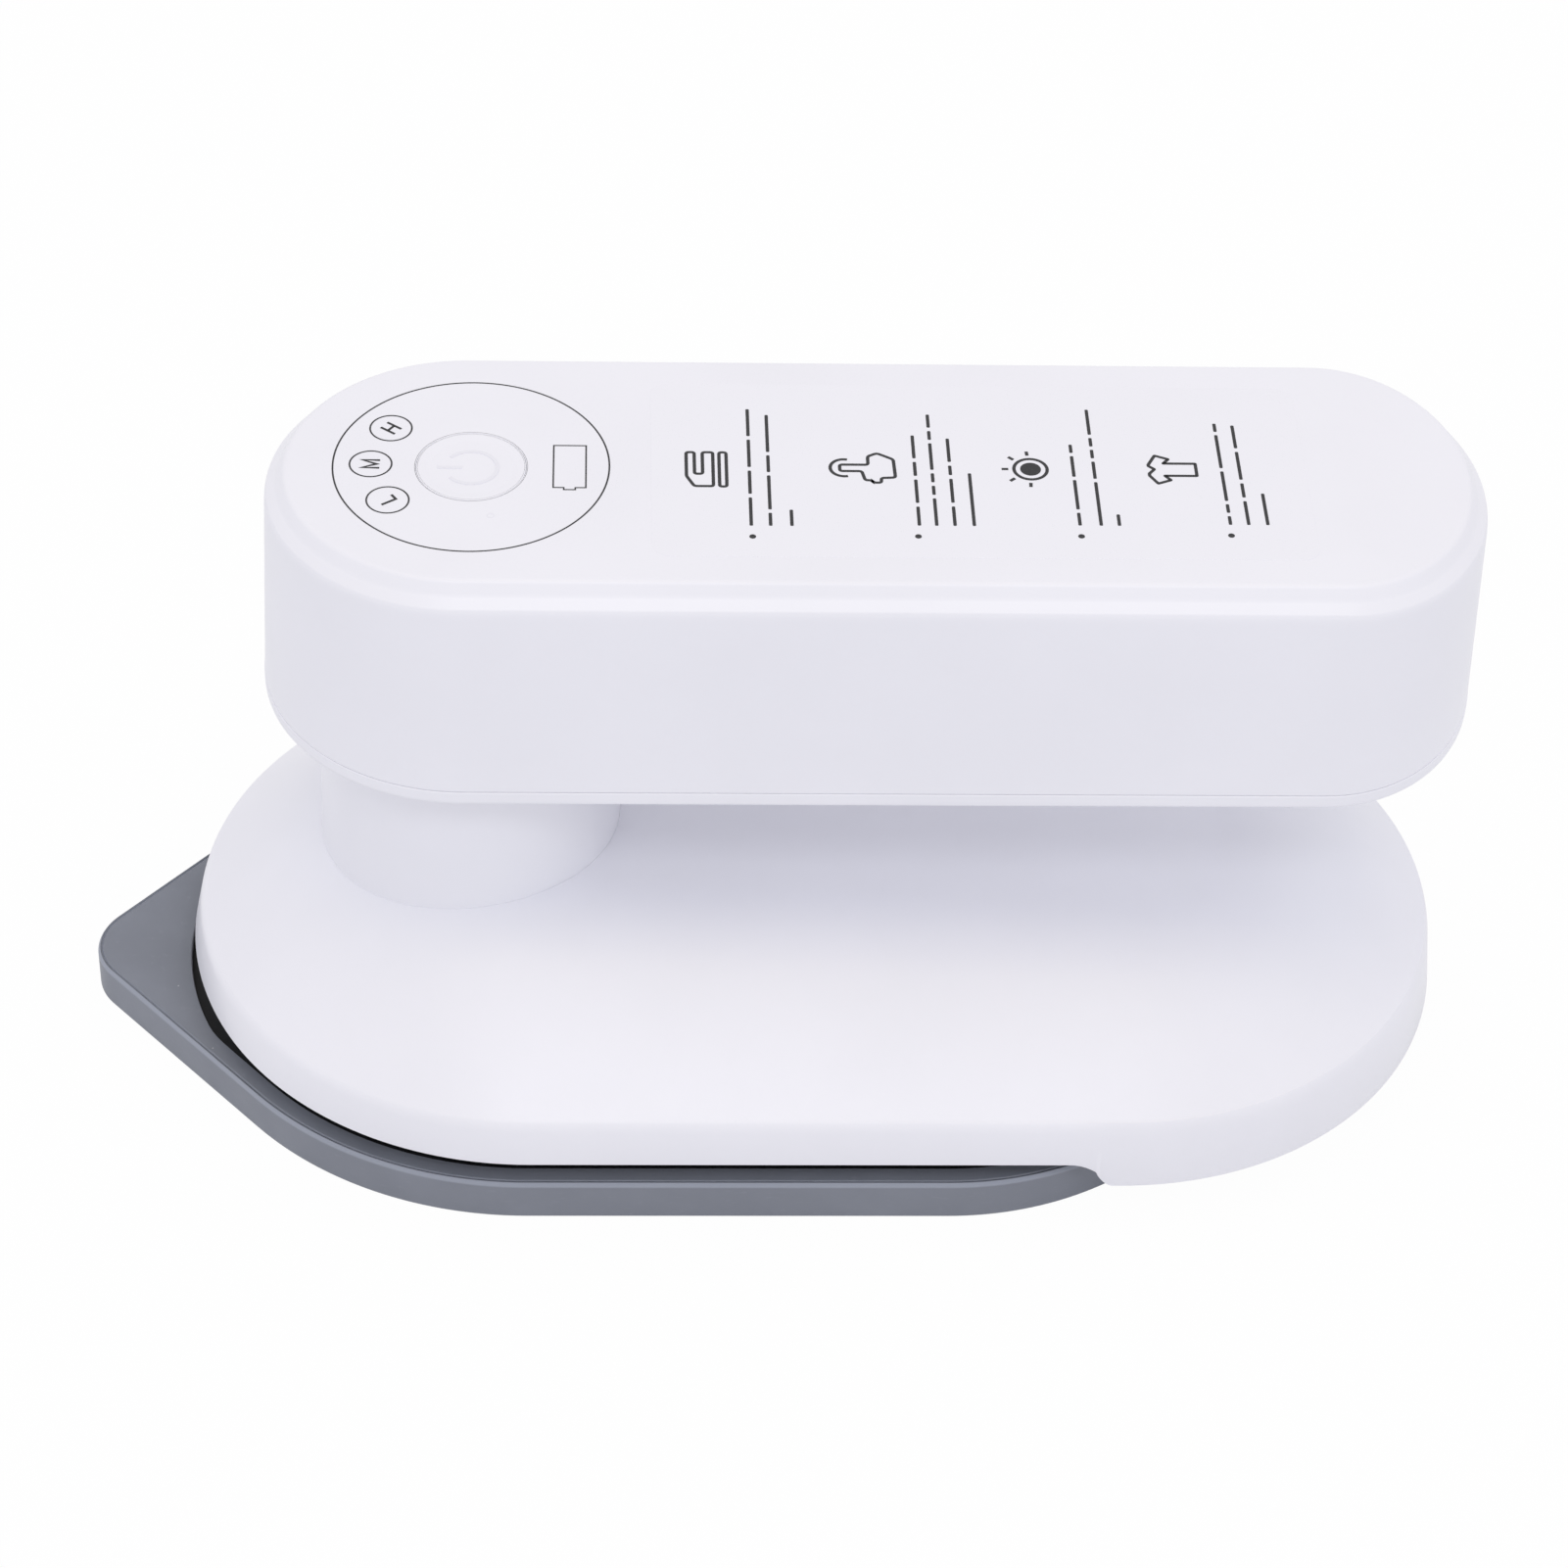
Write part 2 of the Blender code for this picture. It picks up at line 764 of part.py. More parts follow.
def frame_rim():
    """The frame's flange, which closes the shell's underside as far as the heel plate."""
    low = flange_rim_low
    high = low + frame_flange
    rim = plate("frame_rim", skirt_fill, low, high, 0)
    heel = heel_step_x + heel_step_length
    wide = base_half_width * 2
    cut(
        rim,
        block("rim_heel", (heel, -wide, low - overrun), (base_rear_centre + wide, wide, high + overrun)),
        plate("rim_hollow", lambda inset: frame_outline(frame_wall), low - overrun, high + overrun, 0),
    )
    return rim


def base_frame(parent):
    """Black nylon tray, upside down over the heater, between soleplate and shell."""
    frame = loft(
        "base_frame",
        [
            level(frame_outline(frame_wall), frame_plate_low),
            level(frame_outline(frame_wall), frame_low),
            level(frame_outline(0), frame_low),
            level(frame_outline(0), frame_top),
        ],
        "black_nylon",
        parent,
    )
    join(frame, frame_rim())
    above = frame_top + overrun
    cut(
        frame,
        cylinder("frame_cutout_hole", (cutout_x, 0), cutout_radius + fit_gap, clamp_low, above),
        cylinder("frame_sensor_hole", (sensor_x, 0), sensor_radius + fit_gap, clamp_low, above),
    )
    for name, x, y in sole_spots() + shell_spots():
        cut(frame, cylinder("frame_hole_" + name, (x, y), screw_hole_radius, clamp_low, above))
    return frame


def heel_step_points():
    """X of the points along the curved step from skirt to heel."""
    steps = small_steps // 2
    return [heel_step_x + heel_step_length * i / steps for i in range(steps + 1)]


def skirt_edge(x):
    """Height of the skirt's lower edge: it drops in a smooth S at the heel."""
    share = min(max((x - heel_step_x) / heel_step_length, 0), 1)
    return skirt_low + (heel_low - skirt_low) * share * share * (3 - 2 * share)


def crown_profile():
    """The shell's outer profile as (distance in from the rim, height) points."""
    wall = [(0, rim_z - rim_round * rim_wall_share), (rim_round * rim_top_share, rim_z)]
    runs = [rim_round + (crown_run - rim_round) * i / crown_rows for i in range(crown_rows + 1)]
    return wall + [(run, rim_z + crown_rise * math.sin(math.pi / 2 * run / crown_run)) for run in runs]


def moved_profile(outer, depth):
    """The same profile moved square inwards by a depth."""
    inner = []
    for i, (run, height) in enumerate(outer):
        before = outer[max(i - 1, 0)]
        after = outer[min(i + 1, len(outer) - 1)]
        if i == 0:
            before = (run, height - rim_round)
        along = Vector((after[0] - before[0], after[1] - before[1])).normalized()
        inner.append((run + depth * along.y, height - depth * along.x))
    return inner


def base_ring(inset, height):
    """One ring of the base shell; towards the heel the crown falls a little."""
    outline = stadium(base_front_centre, base_rear_centre, base_half_width, inset, heel_step_points())
    depth_share = min(max(inset / crown_run, 0), 1)
    length = base_rear_centre - base_front_centre
    ring = []
    for x, y in outline:
        fall = crown_fall * depth_share * (x - base_front_centre) / length
        on_flat = depth_share == 1
        ring.append((x, y, height - (fall if on_flat else max(fall, 0))))
    return ring


def base_shell(parent):
    """White moulded shell: skirt, soft rim, pillow-shaped top, swivel collar and bosses."""
    outer = crown_profile()
    inner = moved_profile(outer, shell_wall)
    skirt_outer = stadium(
        base_front_centre, base_rear_centre, base_half_width + skirt_flare, 0, heel_step_points()
    )
    skirt_inner = stadium(
        base_front_centre, base_rear_centre, base_half_width + skirt_flare, shell_wall, heel_step_points()
    )
    shell = loft(
        "base_shell",
        [base_ring(run, height) for run, height in reversed(inner)]
        + [[(x, y, skirt_edge(x)) for x, y in skirt_inner]]
        + [[(x, y, skirt_edge(x)) for x, y in skirt_outer]]
        + [base_ring(run, height) for run, height in outer],
        "white_plastic",
        parent,
    )
    middle = moved_profile(outer, shell_wall / 2)
    limit = loft(
        "boss_limit",
        [[(x, y, frame_low) for x, y, height in base_ring(*middle[0])]]
        + [base_ring(run, height) for run, height in middle],
    )

    def add_boss(boss):
        """Join a boss that runs up into the crown's wall and ends there."""
        boolean(boss, limit, "INTERSECT")
        join(shell, boss)

    collar_radius = shaft_hole_radius + collar_wall
    add_boss(cylinder("collar", (0, 0), collar_radius, collar_low, crown_z, round_steps * 2))
    boss_low = frame_top + fit_gap
    for name, x, y in shell_spots():
        add_boss(cylinder("shell_boss_" + name, (x, y), boss_radius, boss_low, crown_z))
    for name, side in mirrored("heel_boss"):
        spot = (heel_screw_x, side * heel_screw_y)
        low = heel_low + heel_recess + heel_plate_thickness + fit_gap
        add_boss(cylinder(name, spot, boss_radius, low, crown_z))
        cut(shell, cylinder(name + "_pilot", spot, screw_hole_radius, heel_low, low + base_screw_grip))
    for name, x, y in shell_spots():
        top = boss_low + base_screw_grip
        cut(shell, cylinder("shell_pilot_" + name, (x, y), screw_hole_radius, clamp_low, top))
    above = crown_z + overrun
    cut(shell, cylinder("shaft_hole", (0, 0), shaft_hole_radius, frame_top, above, round_steps * 2))
    return shell


def heel_plate(parent):
    """Crescent that closes the shell's heel behind the frame."""
    low = heel_low + heel_recess
    high = low + heel_plate_thickness
    piece = plate("heel_plate", skirt_fill, low, high, 0, "black_nylon", parent)
    reach = frame_half_width + fit_gap
    hollow = stadium(base_front_centre, frame_rear_centre, reach)
    front = heel_step_x + heel_step_length + fit_gap
    wide = base_half_width * 2
    cut(
        piece,
        loft("heel_hollow", [level(hollow, low - overrun), level(hollow, high + overrun)]),
        block("heel_front", (-wide, -wide, low - overrun), (front, wide, high + overrun)),
    )
    for name, side in mirrored("heel_plate"):
        spot = (heel_screw_x, side * heel_screw_y)
        head_top = low + screw_head_height + fit_gap
        cut(
            piece,
            cylinder(name + "_hole", spot, screw_hole_radius, low - overrun, high + overrun),
            cylinder(name + "_recess", spot, screw_head_radius + fit_gap, low - overrun, head_top),
        )
    return piece


def base_screws(parent):
    """Screws that hold the frame, the soleplate and the heel plate."""
    for name, x, y in sole_spots():
        tip = sole_low + sole_thickness / 2 + sole_screw_end_gap
        screw("sole_screw_" + name, (x, y), frame_top + fit_gap + screw_head_height, tip, parent)
    for name, x, y in shell_spots():
        tip = frame_top + base_screw_grip - fit_gap
        screw("shell_screw_" + name, (x, y), frame_plate_low - fit_gap - screw_head_height, tip, parent)
    low = heel_low + heel_recess
    for name, side in mirrored("heel_screw"):
        tip = low + heel_plate_thickness + base_screw_grip - fit_gap
        screw(name, (heel_screw_x, side * heel_screw_y), low, tip, parent)


def swivel_seat(parent):
    """Acetal ring on the frame that carries the column, with the two end stops."""
    outer = flange_radius
    inner = outer - seat_width
    seat = turned(
        "swivel_seat",
        [(inner, seat_top), (outer, seat_top), (outer, seat_low), (inner, seat_low)],
        "natural_acetal",
        parent,
    )
    slot_half = terminal_width / 2 + lead_radius * 2 + fit_gap
    slot_top = seat_low + lead_radius * 2 + fit_gap
    cut(
        seat,
        block("lead_slot", (0, -slot_half, seat_low - overrun), (outer + overrun, slot_half, slot_top)),
    )
    half_lug = math.asin(stop_lug_width / 2 / outer)
    for name, side in mirrored("stop"):
        turn = side * (swivel_half_range + 2 * half_lug + fit_gap / outer)
        post = block(
            name + "_post",
            (outer - seat_width, -stop_lug_width / 2, seat_low),
            (outer + fit_gap + stop_lug_reach, stop_lug_width / 2, flange_top),
        )
        hollow = cylinder(
            name + "_hollow", (0, 0), outer + fit_gap, seat_top, flange_top + overrun, round_steps * 2
        )
        cut(post, hollow)
        post.rotation_euler = (0, 0, turn)
        join(seat, post)
    return seat


def washers(base, handle):
    """The spring washer under the column's flange and the slip washer above it."""
    outer = flange_radius - fit_gap
    inner = outer - washer_width
    low = spring_washer_low
    high = low + spring_washer_thickness
    profile = [(inner, high), (outer, high), (outer, low), (inner, low)]
    turned("spring_washer", profile, "spring_steel", base)
    inner = shaft_hole_radius
    low = slip_washer_low
    high = low + slip_washer_thickness
    outer = shaft_hole_radius + washer_width
    profile = [(inner, high), (outer, high), (outer, low), (inner, low)]
    turned("slip_washer", profile, "natural_acetal", handle)


def column(parent):
    """White round post under the handle; its flange turns inside the base."""
    top_ring = column_top - column_plate
    piece = turned(
        "column",
        [
            (0, column_top),
            (column_top_radius - edge_round, column_top),
            (column_top_radius, column_top - edge_round),
            (column_foot_radius, flange_top + fit_gap),
            (column_foot_radius, flange_top),
            (flange_radius, flange_top),
            (flange_radius, flange_low),
            (column_bore, flange_low),
            (column_bore, top_ring),
            (0, top_ring),
        ],
        "white_plastic",
        parent,
    )
    join(
        piece,
        block(
            "stop_lug",
            (flange_radius - flange_width / 2, -stop_lug_width / 2, flange_low),
            (flange_radius + stop_lug_reach, stop_lug_width / 2, flange_top),
        ),
    )
    above = column_top + overrun
    cut(piece, cylinder("column_cable_hole", (0, 0), cable_radius + fit_gap, flange_low, above))
    for name, side in mirrored("column_hole"):
        spot = (0, side * column_screw_y)
        cut(piece, cylinder(name, spot, screw_hole_radius, flange_low, above))
    return piece


def handle_profile():
    """The upper shell's outer profile as (inset, height) points, from below."""
    ledge = shoulder_width
    panel = ledge + panel_step
    return [
        (-handle_draft, shell_low),
        (0, shoulder_z),
        *[(ledge * run, shoulder_z + shoulder_drop * rise) for run, rise in shoulder_shares],
        (ledge, ledge_z),
        (panel, ledge_z + panel_rise * panel_foot_share),
        *[(panel + panel_round * run, ledge_z + panel_rise * rise) for run, rise in panel_shares],
        (panel + panel_round, panel_z),
    ]


def film_outline(inset=0.0):
    """The label film's plan, a rounded rectangle."""
    corner = film_corner - inset
    half = film_half_width - inset - corner
    front = film_front_x + inset + corner
    rear = film_rear_x - inset - corner
    points = []
    for x, y, start in ((rear, half, 0), (front, half, 1), (front, -half, 2), (rear, -half, 3)):
        points += arc((x, y), corner, corner, start * math.pi / 2, (start + 1) * math.pi / 2, corner_steps)
    return points


def handle_shell(parent):
    """White upper shell: drafted walls, soft shoulder, raised panel and screw bosses."""
    inner_top = handle_wall + shoulder_width
    shell = loft(
        "handle_shell",
        [
            level(handle_outline(inner_top), roof_z),
            level(handle_outline(handle_wall), shoulder_z - handle_wall),
            level(handle_outline(handle_wall - handle_draft), shell_low),
        ]
        + [level(handle_outline(inset), height) for inset, height in handle_profile()],
        "white_plastic",
        parent,
    )
    spots = [
        (name, (0, side * column_screw_y), shell_low, column_screw_grip)
        for name, side in mirrored("front_boss")
    ]
    spots += [
        (name, (rear_screw_x, side * rear_screw_y), rear_boss_low, case_screw_grip)
        for name, side in mirrored("rear_boss")
    ]
    for name, spot, low, grip in spots:
        join(shell, cylinder(name, spot, boss_radius, low, roof_z + handle_roof / 2))
        cut(shell, cylinder(name + "_pilot", spot, screw_hole_radius, handle_low, low + grip))
    recess = film_thickness + fit_gap
    opening = socket_half_width + fit_gap
    height = socket_thickness / 2 + fit_gap
    cut(
        shell,
        cylinder(
            "button_hole",
            (control_x, 0),
            button_radius + fit_gap,
            roof_z - overrun,
            panel_z + overrun,
            round_steps * 2,
        ),
        plate("film_recess", lambda inset: film_outline(-fit_gap), panel_z - recess, panel_z + overrun, 0),
        block(
            "socket_hole",
            (cell_rear_x + socket_bay / 2, -opening, socket_z - height),
            (handle_rear_x + handle_draft + overrun, opening, socket_z + height),
        ),
    )
    return shell


def handle_cover(parent):
    """White lower cover: thin plate, locating rim inside the shell and screw recesses."""
    rim_top = shell_low + locating_rim_height
    above = rim_top + overrun
    cover = loft(
        "handle_cover",
        [
            level(handle_outline(cover_round - cover_spread), handle_low),
            level(handle_outline(-cover_spread), handle_low + cover_round),
            level(handle_outline(-cover_spread), cover_top),
            level(handle_outline(rim_outer_inset), cover_top),
            level(handle_outline(rim_outer_inset), rim_top),
            level(handle_outline(rim_inner_inset), rim_top),
            level(handle_outline(rim_inner_inset), cover_top),
        ],
        "white_plastic",
        parent,
    )
    for name, side in mirrored("charge_post"):
        middle_x = charge_board_front() + charge_board_length / 2
        middle_y = side * (charge_board_half_width - charge_post_size)
        half = charge_post_size / 2
        join(
            cover,
            block(
                name,
                (middle_x - half, middle_y - half, cover_top - cover_plate / 2),
                (middle_x + half, middle_y + half, cover_top + charge_post_height),
            ),
        )
    cut(cover, cylinder("cover_cable_hole", (0, 0), cable_radius + fit_gap, handle_low - overrun, above))
    for name, side in mirrored("cover_front_hole"):
        spot = (0, side * column_screw_y)
        cut(cover, cylinder(name, spot, screw_hole_radius, handle_low - overrun, above))
    for name, side in mirrored("cover_rear_hole"):
        spot = (rear_screw_x, side * rear_screw_y)
        recess = screw_head_radius + fit_gap
        head_top = handle_low + screw_head_height + 2 * fit_gap
        join(cover, cylinder(name + "_cup", spot, cup_radius, cover_top - cover_plate / 2, cup_top))
        cut(
            cover,
            cylinder(name, spot, screw_hole_radius, handle_low - overrun, above),
            cylinder(name + "_recess", spot, recess, handle_low - overrun, head_top),
        )
    return cover


def handle_screws(parent):
    """Long screws up through the column, short ones up through the cover."""
    for name, side in mirrored("column_screw"):
        head = column_top - column_plate - fit_gap - screw_head_height
        tip = shell_low + column_screw_grip - fit_gap
        screw(name, (0, side * column_screw_y), head, tip, parent)
    for name, side in mirrored("handle_screw"):
        head = handle_low + fit_gap
        tip = rear_boss_low + case_screw_grip - fit_gap
        screw(name, (rear_screw_x, side * rear_screw_y), head, tip, parent)


def panel_film(parent):
    """Clear label film let into the panel."""
    low = panel_z - film_thickness
    return plate("panel_film", film_outline, low, panel_z, 0, "clear_film", parent)


def power_button(parent):
    """Round push button, flush with the panel, held by its flange."""
    top = panel_z
    flange_high = button_flange_low + button_flange
    flange = button_radius + button_flange_width
    return turned(
        "power_button",
        [
            (0, top - edge_round / 2),
            (button_radius - edge_round * 2, top - edge_round / 4),
            (button_radius - edge_round / 2, top - edge_round / 4),
            (button_radius, top - edge_round),
            (button_radius, flange_high),
            (flange, flange_high),
            (flange, button_flange_low),
            (0, button_flange_low),
        ],
        "white_plastic",
        parent,
        centre=(control_x, 0),
        steps=round_steps * 2,
    )


def light_spots():
    """Name, place, chip size and hole radius of each light round the button."""
    spots = [
        (
            "level_light_" + name,
            (
                control_x + level_light_radius * math.cos(turn),
                level_light_radius * math.sin(turn),
            ),
            light_size,
            light_hole_radius,
        )
        for name, turn in level_light_angles.items()
    ]
    spots.append(("charge_light", (control_x + level_light_radius, 0), light_size, light_hole_radius))
    spots.append(
        (
            "status_light",
            (control_x + status_light_x, status_light_y),
            status_light_size,
            status_hole_radius,
        )
    )
    return spots


def boss_notches(name, piece, low, high):
    """Room for the two front screw bosses."""
    for side_name, side in mirrored(name):
        spot = (0, side * column_screw_y)
        cut(piece, cylinder(side_name, spot, boss_radius + fit_gap, low - overrun, high + overrun))


def control_board(parent):
    """Round board under the button with its switch and lights, and the mask above."""
    low = control_board_low
    board = cylinder(
        "control_board",
        (control_x, 0),
        control_board_radius,
        low,
        control_board_top,
        round_steps * 2,
        "green_board",
        parent,
    )
    join(
        board,
        block(
            "control_tab",
            (control_x, -control_tab_half_width, low),
            (control_x + control_tab_length, control_tab_half_width, control_board_top),
        ),
    )
    boss_notches("board_notch", board, low, control_board_top)
    half = switch_size / 2
    block(
        "button_switch",
        (control_x - half, -half, switch_low),
        (control_x + half, half, switch_top),
        "black_epoxy",
        parent,
        edge_round / 2,
    )
    mask_low = control_board_top + fit_gap
    mask_high = roof_z - fit_gap
    mask = turned(
        "light_mask",
        [
            (mask_inner_radius, mask_high),
            (mask_radius, mask_high),
            (mask_radius, mask_low),
            (mask_inner_radius, mask_low),
        ],
        "black_nylon",
        parent,
        centre=(control_x, 0),
    )
    boss_notches("mask_notch", mask, mask_low, mask_high)
    for name, (x, y), size, hole in light_spots():
        cut(mask, cylinder(name + "_well", (x, y), hole, mask_low - overrun, mask_high + overrun))
        block(
            name,
            (x - size / 2, y - size / 2, mask_low),
            (x + size / 2, y + size / 2, mask_low + light_height),
            "lamp_epoxy",
            parent,
        )
    return board


def battery_pack(parent):
    """Two cells side by side in a cradle, with a contact strip at each end."""
    front = cell_front_x
    rear = cell_rear_x
    half = handle_half_width - rim_inner_inset - fit_gap
    cradle = block(
        "battery_cradle",
        (front, -half, cradle_low),
        (rear, half, cradle_low + cradle_height),
        "black_nylon",
        parent,
    )
    for name, side in mirrored("battery_cell"):
        room = cell_diameter / 2 + fit_gap
        bed = cylinder(name + "_bed", (0, 0), room, -cell_length, cell_length, cell_steps)
        bed.location = ((front + rear) / 2, side * cell_y, cell_z)
        bed.rotation_euler = (0, math.pi / 2, 0)
        cut(cradle, bed)
        cell = turned(
            name,
            [
                (0, cell_length / 2),
                (cell_diameter / 2 - edge_round, cell_length / 2),
                (cell_diameter / 2, cell_length / 2 - edge_round),
                (cell_diameter / 2, edge_round - cell_length / 2),
                (cell_diameter / 2 - edge_round, -cell_length / 2),
                (0, -cell_length / 2),
            ],
            "cell_wrap",
            parent,
            steps=cell_steps,
        )
        cell.location = Vector(((front + rear) / 2, side * cell_y, cell_z)) - parent.location
        cell.rotation_euler = (0, math.pi / 2, 0)
    for name, x in (
        ("contact_strip_front", front - fit_gap - strip_thickness),
        ("contact_strip_rear", rear + fit_gap),
    ):
        block(
            name,
            (x, -cell_y - strip_width / 2, cell_z - strip_width / 2),
            (x + strip_thickness, cell_y + strip_width / 2, cell_z + strip_width / 2),
            "nickel",
            parent,
        )


def power_board(parent):
    """Board on top of the cells with its driver chip and filter coil, and the ribbon."""
    rear = cell_rear_x - strip_width
    front = rear - power_board_length
    half = power_board_half_width
    block(
        "power_board",
        (front, -half, power_board_low),
        (rear, half, power_board_top),
        "green_board",
        parent,
    )
    low = power_board_top + fit_gap
    middle = (front + rear) / 2
    size = chip_size
    block(
        "driver_chip",
        (middle - size * 2, -size / 2, low),
        (middle - size, size / 2, low + chip_height),
        "black_epoxy",
        parent,
        edge_round / 2,
    )
    cylinder(
        "filter_coil",
        (middle + size, 0),
        coil_radius,
        low,
        low + coil_height,
        round_steps,
        "black_epoxy",
        parent,
    )
    ribbon_front = control_x + mask_radius + fit_gap
    block(
        "ribbon_cable",
        (ribbon_front, -control_tab_half_width + fit_gap, low),
        (front + size, control_tab_half_width - fit_gap, low + strip_thickness),
        "wire_sleeve",
        parent,
    )


def charge_board_front():
    """X of the charging board's front edge."""
    seat = socket_flush + socket_length * socket_board_share
    return handle_rear_x + handle_draft - seat - charge_board_length


def charging(parent):
    """Charging socket in the rear end, on its own board."""
    front = charge_board_front()
    half = charge_board_half_width
    block(
        "charge_board",
        (front, -half, charge_board_low),
        (front + charge_board_length - handle_wall, half, charge_board_top),
        "green_board",
        parent,
    )
    mouth = handle_rear_x + handle_draft * (shoulder_z - socket_z) / (shoulder_z - shell_low) - socket_flush
    inside = mouth - socket_length
    socket = block(
        "charge_socket",
        (inside, -socket_half_width, socket_low),
        (mouth, socket_half_width, socket_low + socket_thickness),
        "plated_steel",
        parent,
        socket_thickness * socket_round_share,
    )
    wall = socket_shell
    back = inside + socket_length * socket_back_share
    cut(
        socket,
        block(
            "socket_mouth",
            (back, wall - socket_half_width, socket_low + wall),
            (mouth + overrun, socket_half_width - wall, socket_low + socket_thickness - wall),
        ),
    )
    tongue_half = socket_half_width * tongue_width_share
    block(
        "charge_socket_tongue",
        (back + fit_gap, -tongue_half, socket_z - wall),
        (mouth - socket_length * tongue_recess_share, tongue_half, socket_z + wall),
        "black_nylon",
        parent,
    )


def wiring(base, handle):
    """The heater cable down the swivel axis, and the leads inside the base."""
    start_z = control_board_low - fit_gap - cable_radius
    drop = Vector((0, 0, cable_bend_rise))
    corner = Vector((0, 0, cover_top)) + drop
    end = Vector((0, 0, seat_low + terminal_height + fit_gap))
    rise = Vector((cable_bend_x, 0, start_z))
    middle = (rise + corner) / 2 - drop * cable_sag_share
    route = smooth_route([rise, middle, corner - drop * cable_turn_share])
    wire("heater_cable", [*route, Vector((0, 0, cover_top)), end], cable_radius, "wire_sleeve", handle)
    block(
        "terminal_block",
        (-terminal_length / 2, -terminal_width / 2, seat_low),
        (terminal_length / 2, terminal_width / 2, seat_low + terminal_height),
        "natural_acetal",
        base,
        edge_round,
    )
    lead_z = seat_low + lead_radius
    near = terminal_length / 2 + fit_gap
    far = cutout_x - cutout_radius - fit_gap
    offset = terminal_width / 4
    route = [(near, offset, lead_z), (far + fit_gap, offset / 2, lead_z)]
    wire("cutout_lead", route, lead_radius, "red_wire", base)
    side = cutout_radius + lead_radius * 3
    route = smooth_route(
        [
            (near, -offset, lead_z),
            (far - lead_radius * 4, -offset * 2, lead_z),
            (cutout_x, -side, lead_z),
            (sensor_x - cutout_radius, -offset * 2, lead_z),
            (sensor_x - sensor_radius - lead_radius, -offset, lead_z),
        ]
    )
    wire("sensor_lead", route, lead_radius, "black_wire", base)


def axis_empty(name, place):
    """An empty on a joint's axis, which carries the pieces that move about it."""
    empty = bpy.data.objects.new(name, None)
    empty.location = place
    empty.empty_display_size = edge_round
    collections["handheld_iron"].objects.link(empty)
    return empty


def build():
    """Make every piece of the iron."""
    pad_axis = axis_empty("pad_rest", (0, 0, 0))
    lift_axis = axis_empty("lift_axis", (0, 0, sole_low))
    swivel_axis = axis_empty("swivel_axis", (0, 0, flange_low))
    button_axis = axis_empty("button_axis", (control_x, 0, panel_z))
    heat_pad(pad_axis)
    soleplate(lift_axis)
    heater_stack(lift_axis)
    base_frame(lift_axis)
    base_shell(lift_axis)
    heel_plate(lift_axis)
    base_screws(lift_axis)
    swivel_seat(lift_axis)
    washers(lift_axis, lift_axis)
    column(swivel_axis)
    handle_cover(swivel_axis)
    handle_shell(swivel_axis)
    panel_film(swivel_axis)
    handle_screws(swivel_axis)
    control_board(swivel_axis)
    battery_pack(swivel_axis)
    power_board(swivel_axis)
    charging(swivel_axis)
    wiring(lift_axis, swivel_axis)
    power_button(button_axis)


build()
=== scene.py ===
"""A cordless handheld iron with a swivelling handle, resting in its silicone heat pad.

Metres, +Z up. The nose points to -X and the swivel axis is the Z axis. Each piece is a surface
worked out with numpy from the sizes in the sidebar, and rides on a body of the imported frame.
"""
import json
import math

import bmesh
import bpy
import numpy as np
from mathutils import Matrix, Vector


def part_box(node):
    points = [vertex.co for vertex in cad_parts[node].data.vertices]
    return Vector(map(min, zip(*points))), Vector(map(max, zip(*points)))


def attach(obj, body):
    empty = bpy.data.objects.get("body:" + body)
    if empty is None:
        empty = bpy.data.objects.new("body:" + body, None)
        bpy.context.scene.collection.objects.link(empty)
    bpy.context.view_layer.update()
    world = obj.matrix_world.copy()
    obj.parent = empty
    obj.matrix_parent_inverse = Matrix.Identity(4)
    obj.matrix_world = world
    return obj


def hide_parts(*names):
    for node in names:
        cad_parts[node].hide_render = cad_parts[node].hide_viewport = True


bl_info = {
    "name": "Cordless handheld iron",
    "version": (1, 0, 0),
    "blender": (4, 5, 0),
    "location": "3D View > Sidebar > Iron",
    "description": "Pieces, finishes and stage of a cordless handheld iron in its heat pad",
    "category": "Object",
}

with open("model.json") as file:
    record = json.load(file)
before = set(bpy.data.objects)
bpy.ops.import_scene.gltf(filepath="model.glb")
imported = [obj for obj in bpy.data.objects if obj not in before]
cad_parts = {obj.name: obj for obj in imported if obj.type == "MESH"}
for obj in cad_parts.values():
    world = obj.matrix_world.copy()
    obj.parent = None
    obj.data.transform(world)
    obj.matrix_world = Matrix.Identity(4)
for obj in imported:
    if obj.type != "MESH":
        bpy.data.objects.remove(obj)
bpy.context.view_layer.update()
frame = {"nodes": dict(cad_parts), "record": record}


class Box:
    """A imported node's lowest and highest corner, its middle and half its size."""

    def __init__(self, node):
        self.low, self.high = (np.array(corner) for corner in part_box(node))
        self.middle = (self.low + self.high) / 2
        self.half = (self.high - self.low) / 2


pad_box = Box("heat_pad")
base_box = Box("base_shell")
shell_box = Box("handle_shell")
cover_box = Box("handle_cover")
column_box = Box("column")
sole_box = Box("soleplate")
film_box = Box("panel_film")
button_box = Box("power_button")
socket_box = Box("charge_socket")
tongue_box = Box("charge_socket_tongue")
button_x = button_box.middle[0]

DRAFT = 0.0010  # how far the handle's wall leans out at its foot
FLARE = 0.0009  # how far the base's skirt leans out at its foot
FILM_SHARE = 0.45  # how much of the top relief the film takes up
CAP_INSET = 0.004  # where one flat face takes over from the rows at an edge
HOLD = 0.00005  # length beside a rounded corner on which a line stays straight
WELD = 0.0000002  # distance within which points are merged
SHARP = 32.0  # angle in degrees past which an edge is sharp
SIDES = ("left", "right")
WHITE = (1.0, 1.0, 1.0, 1.0)


def length(label, note, value):
    """A size in metres."""
    return bpy.props.FloatProperty(
        name=label, description=note, default=float(value), unit="LENGTH", precision=5
    )


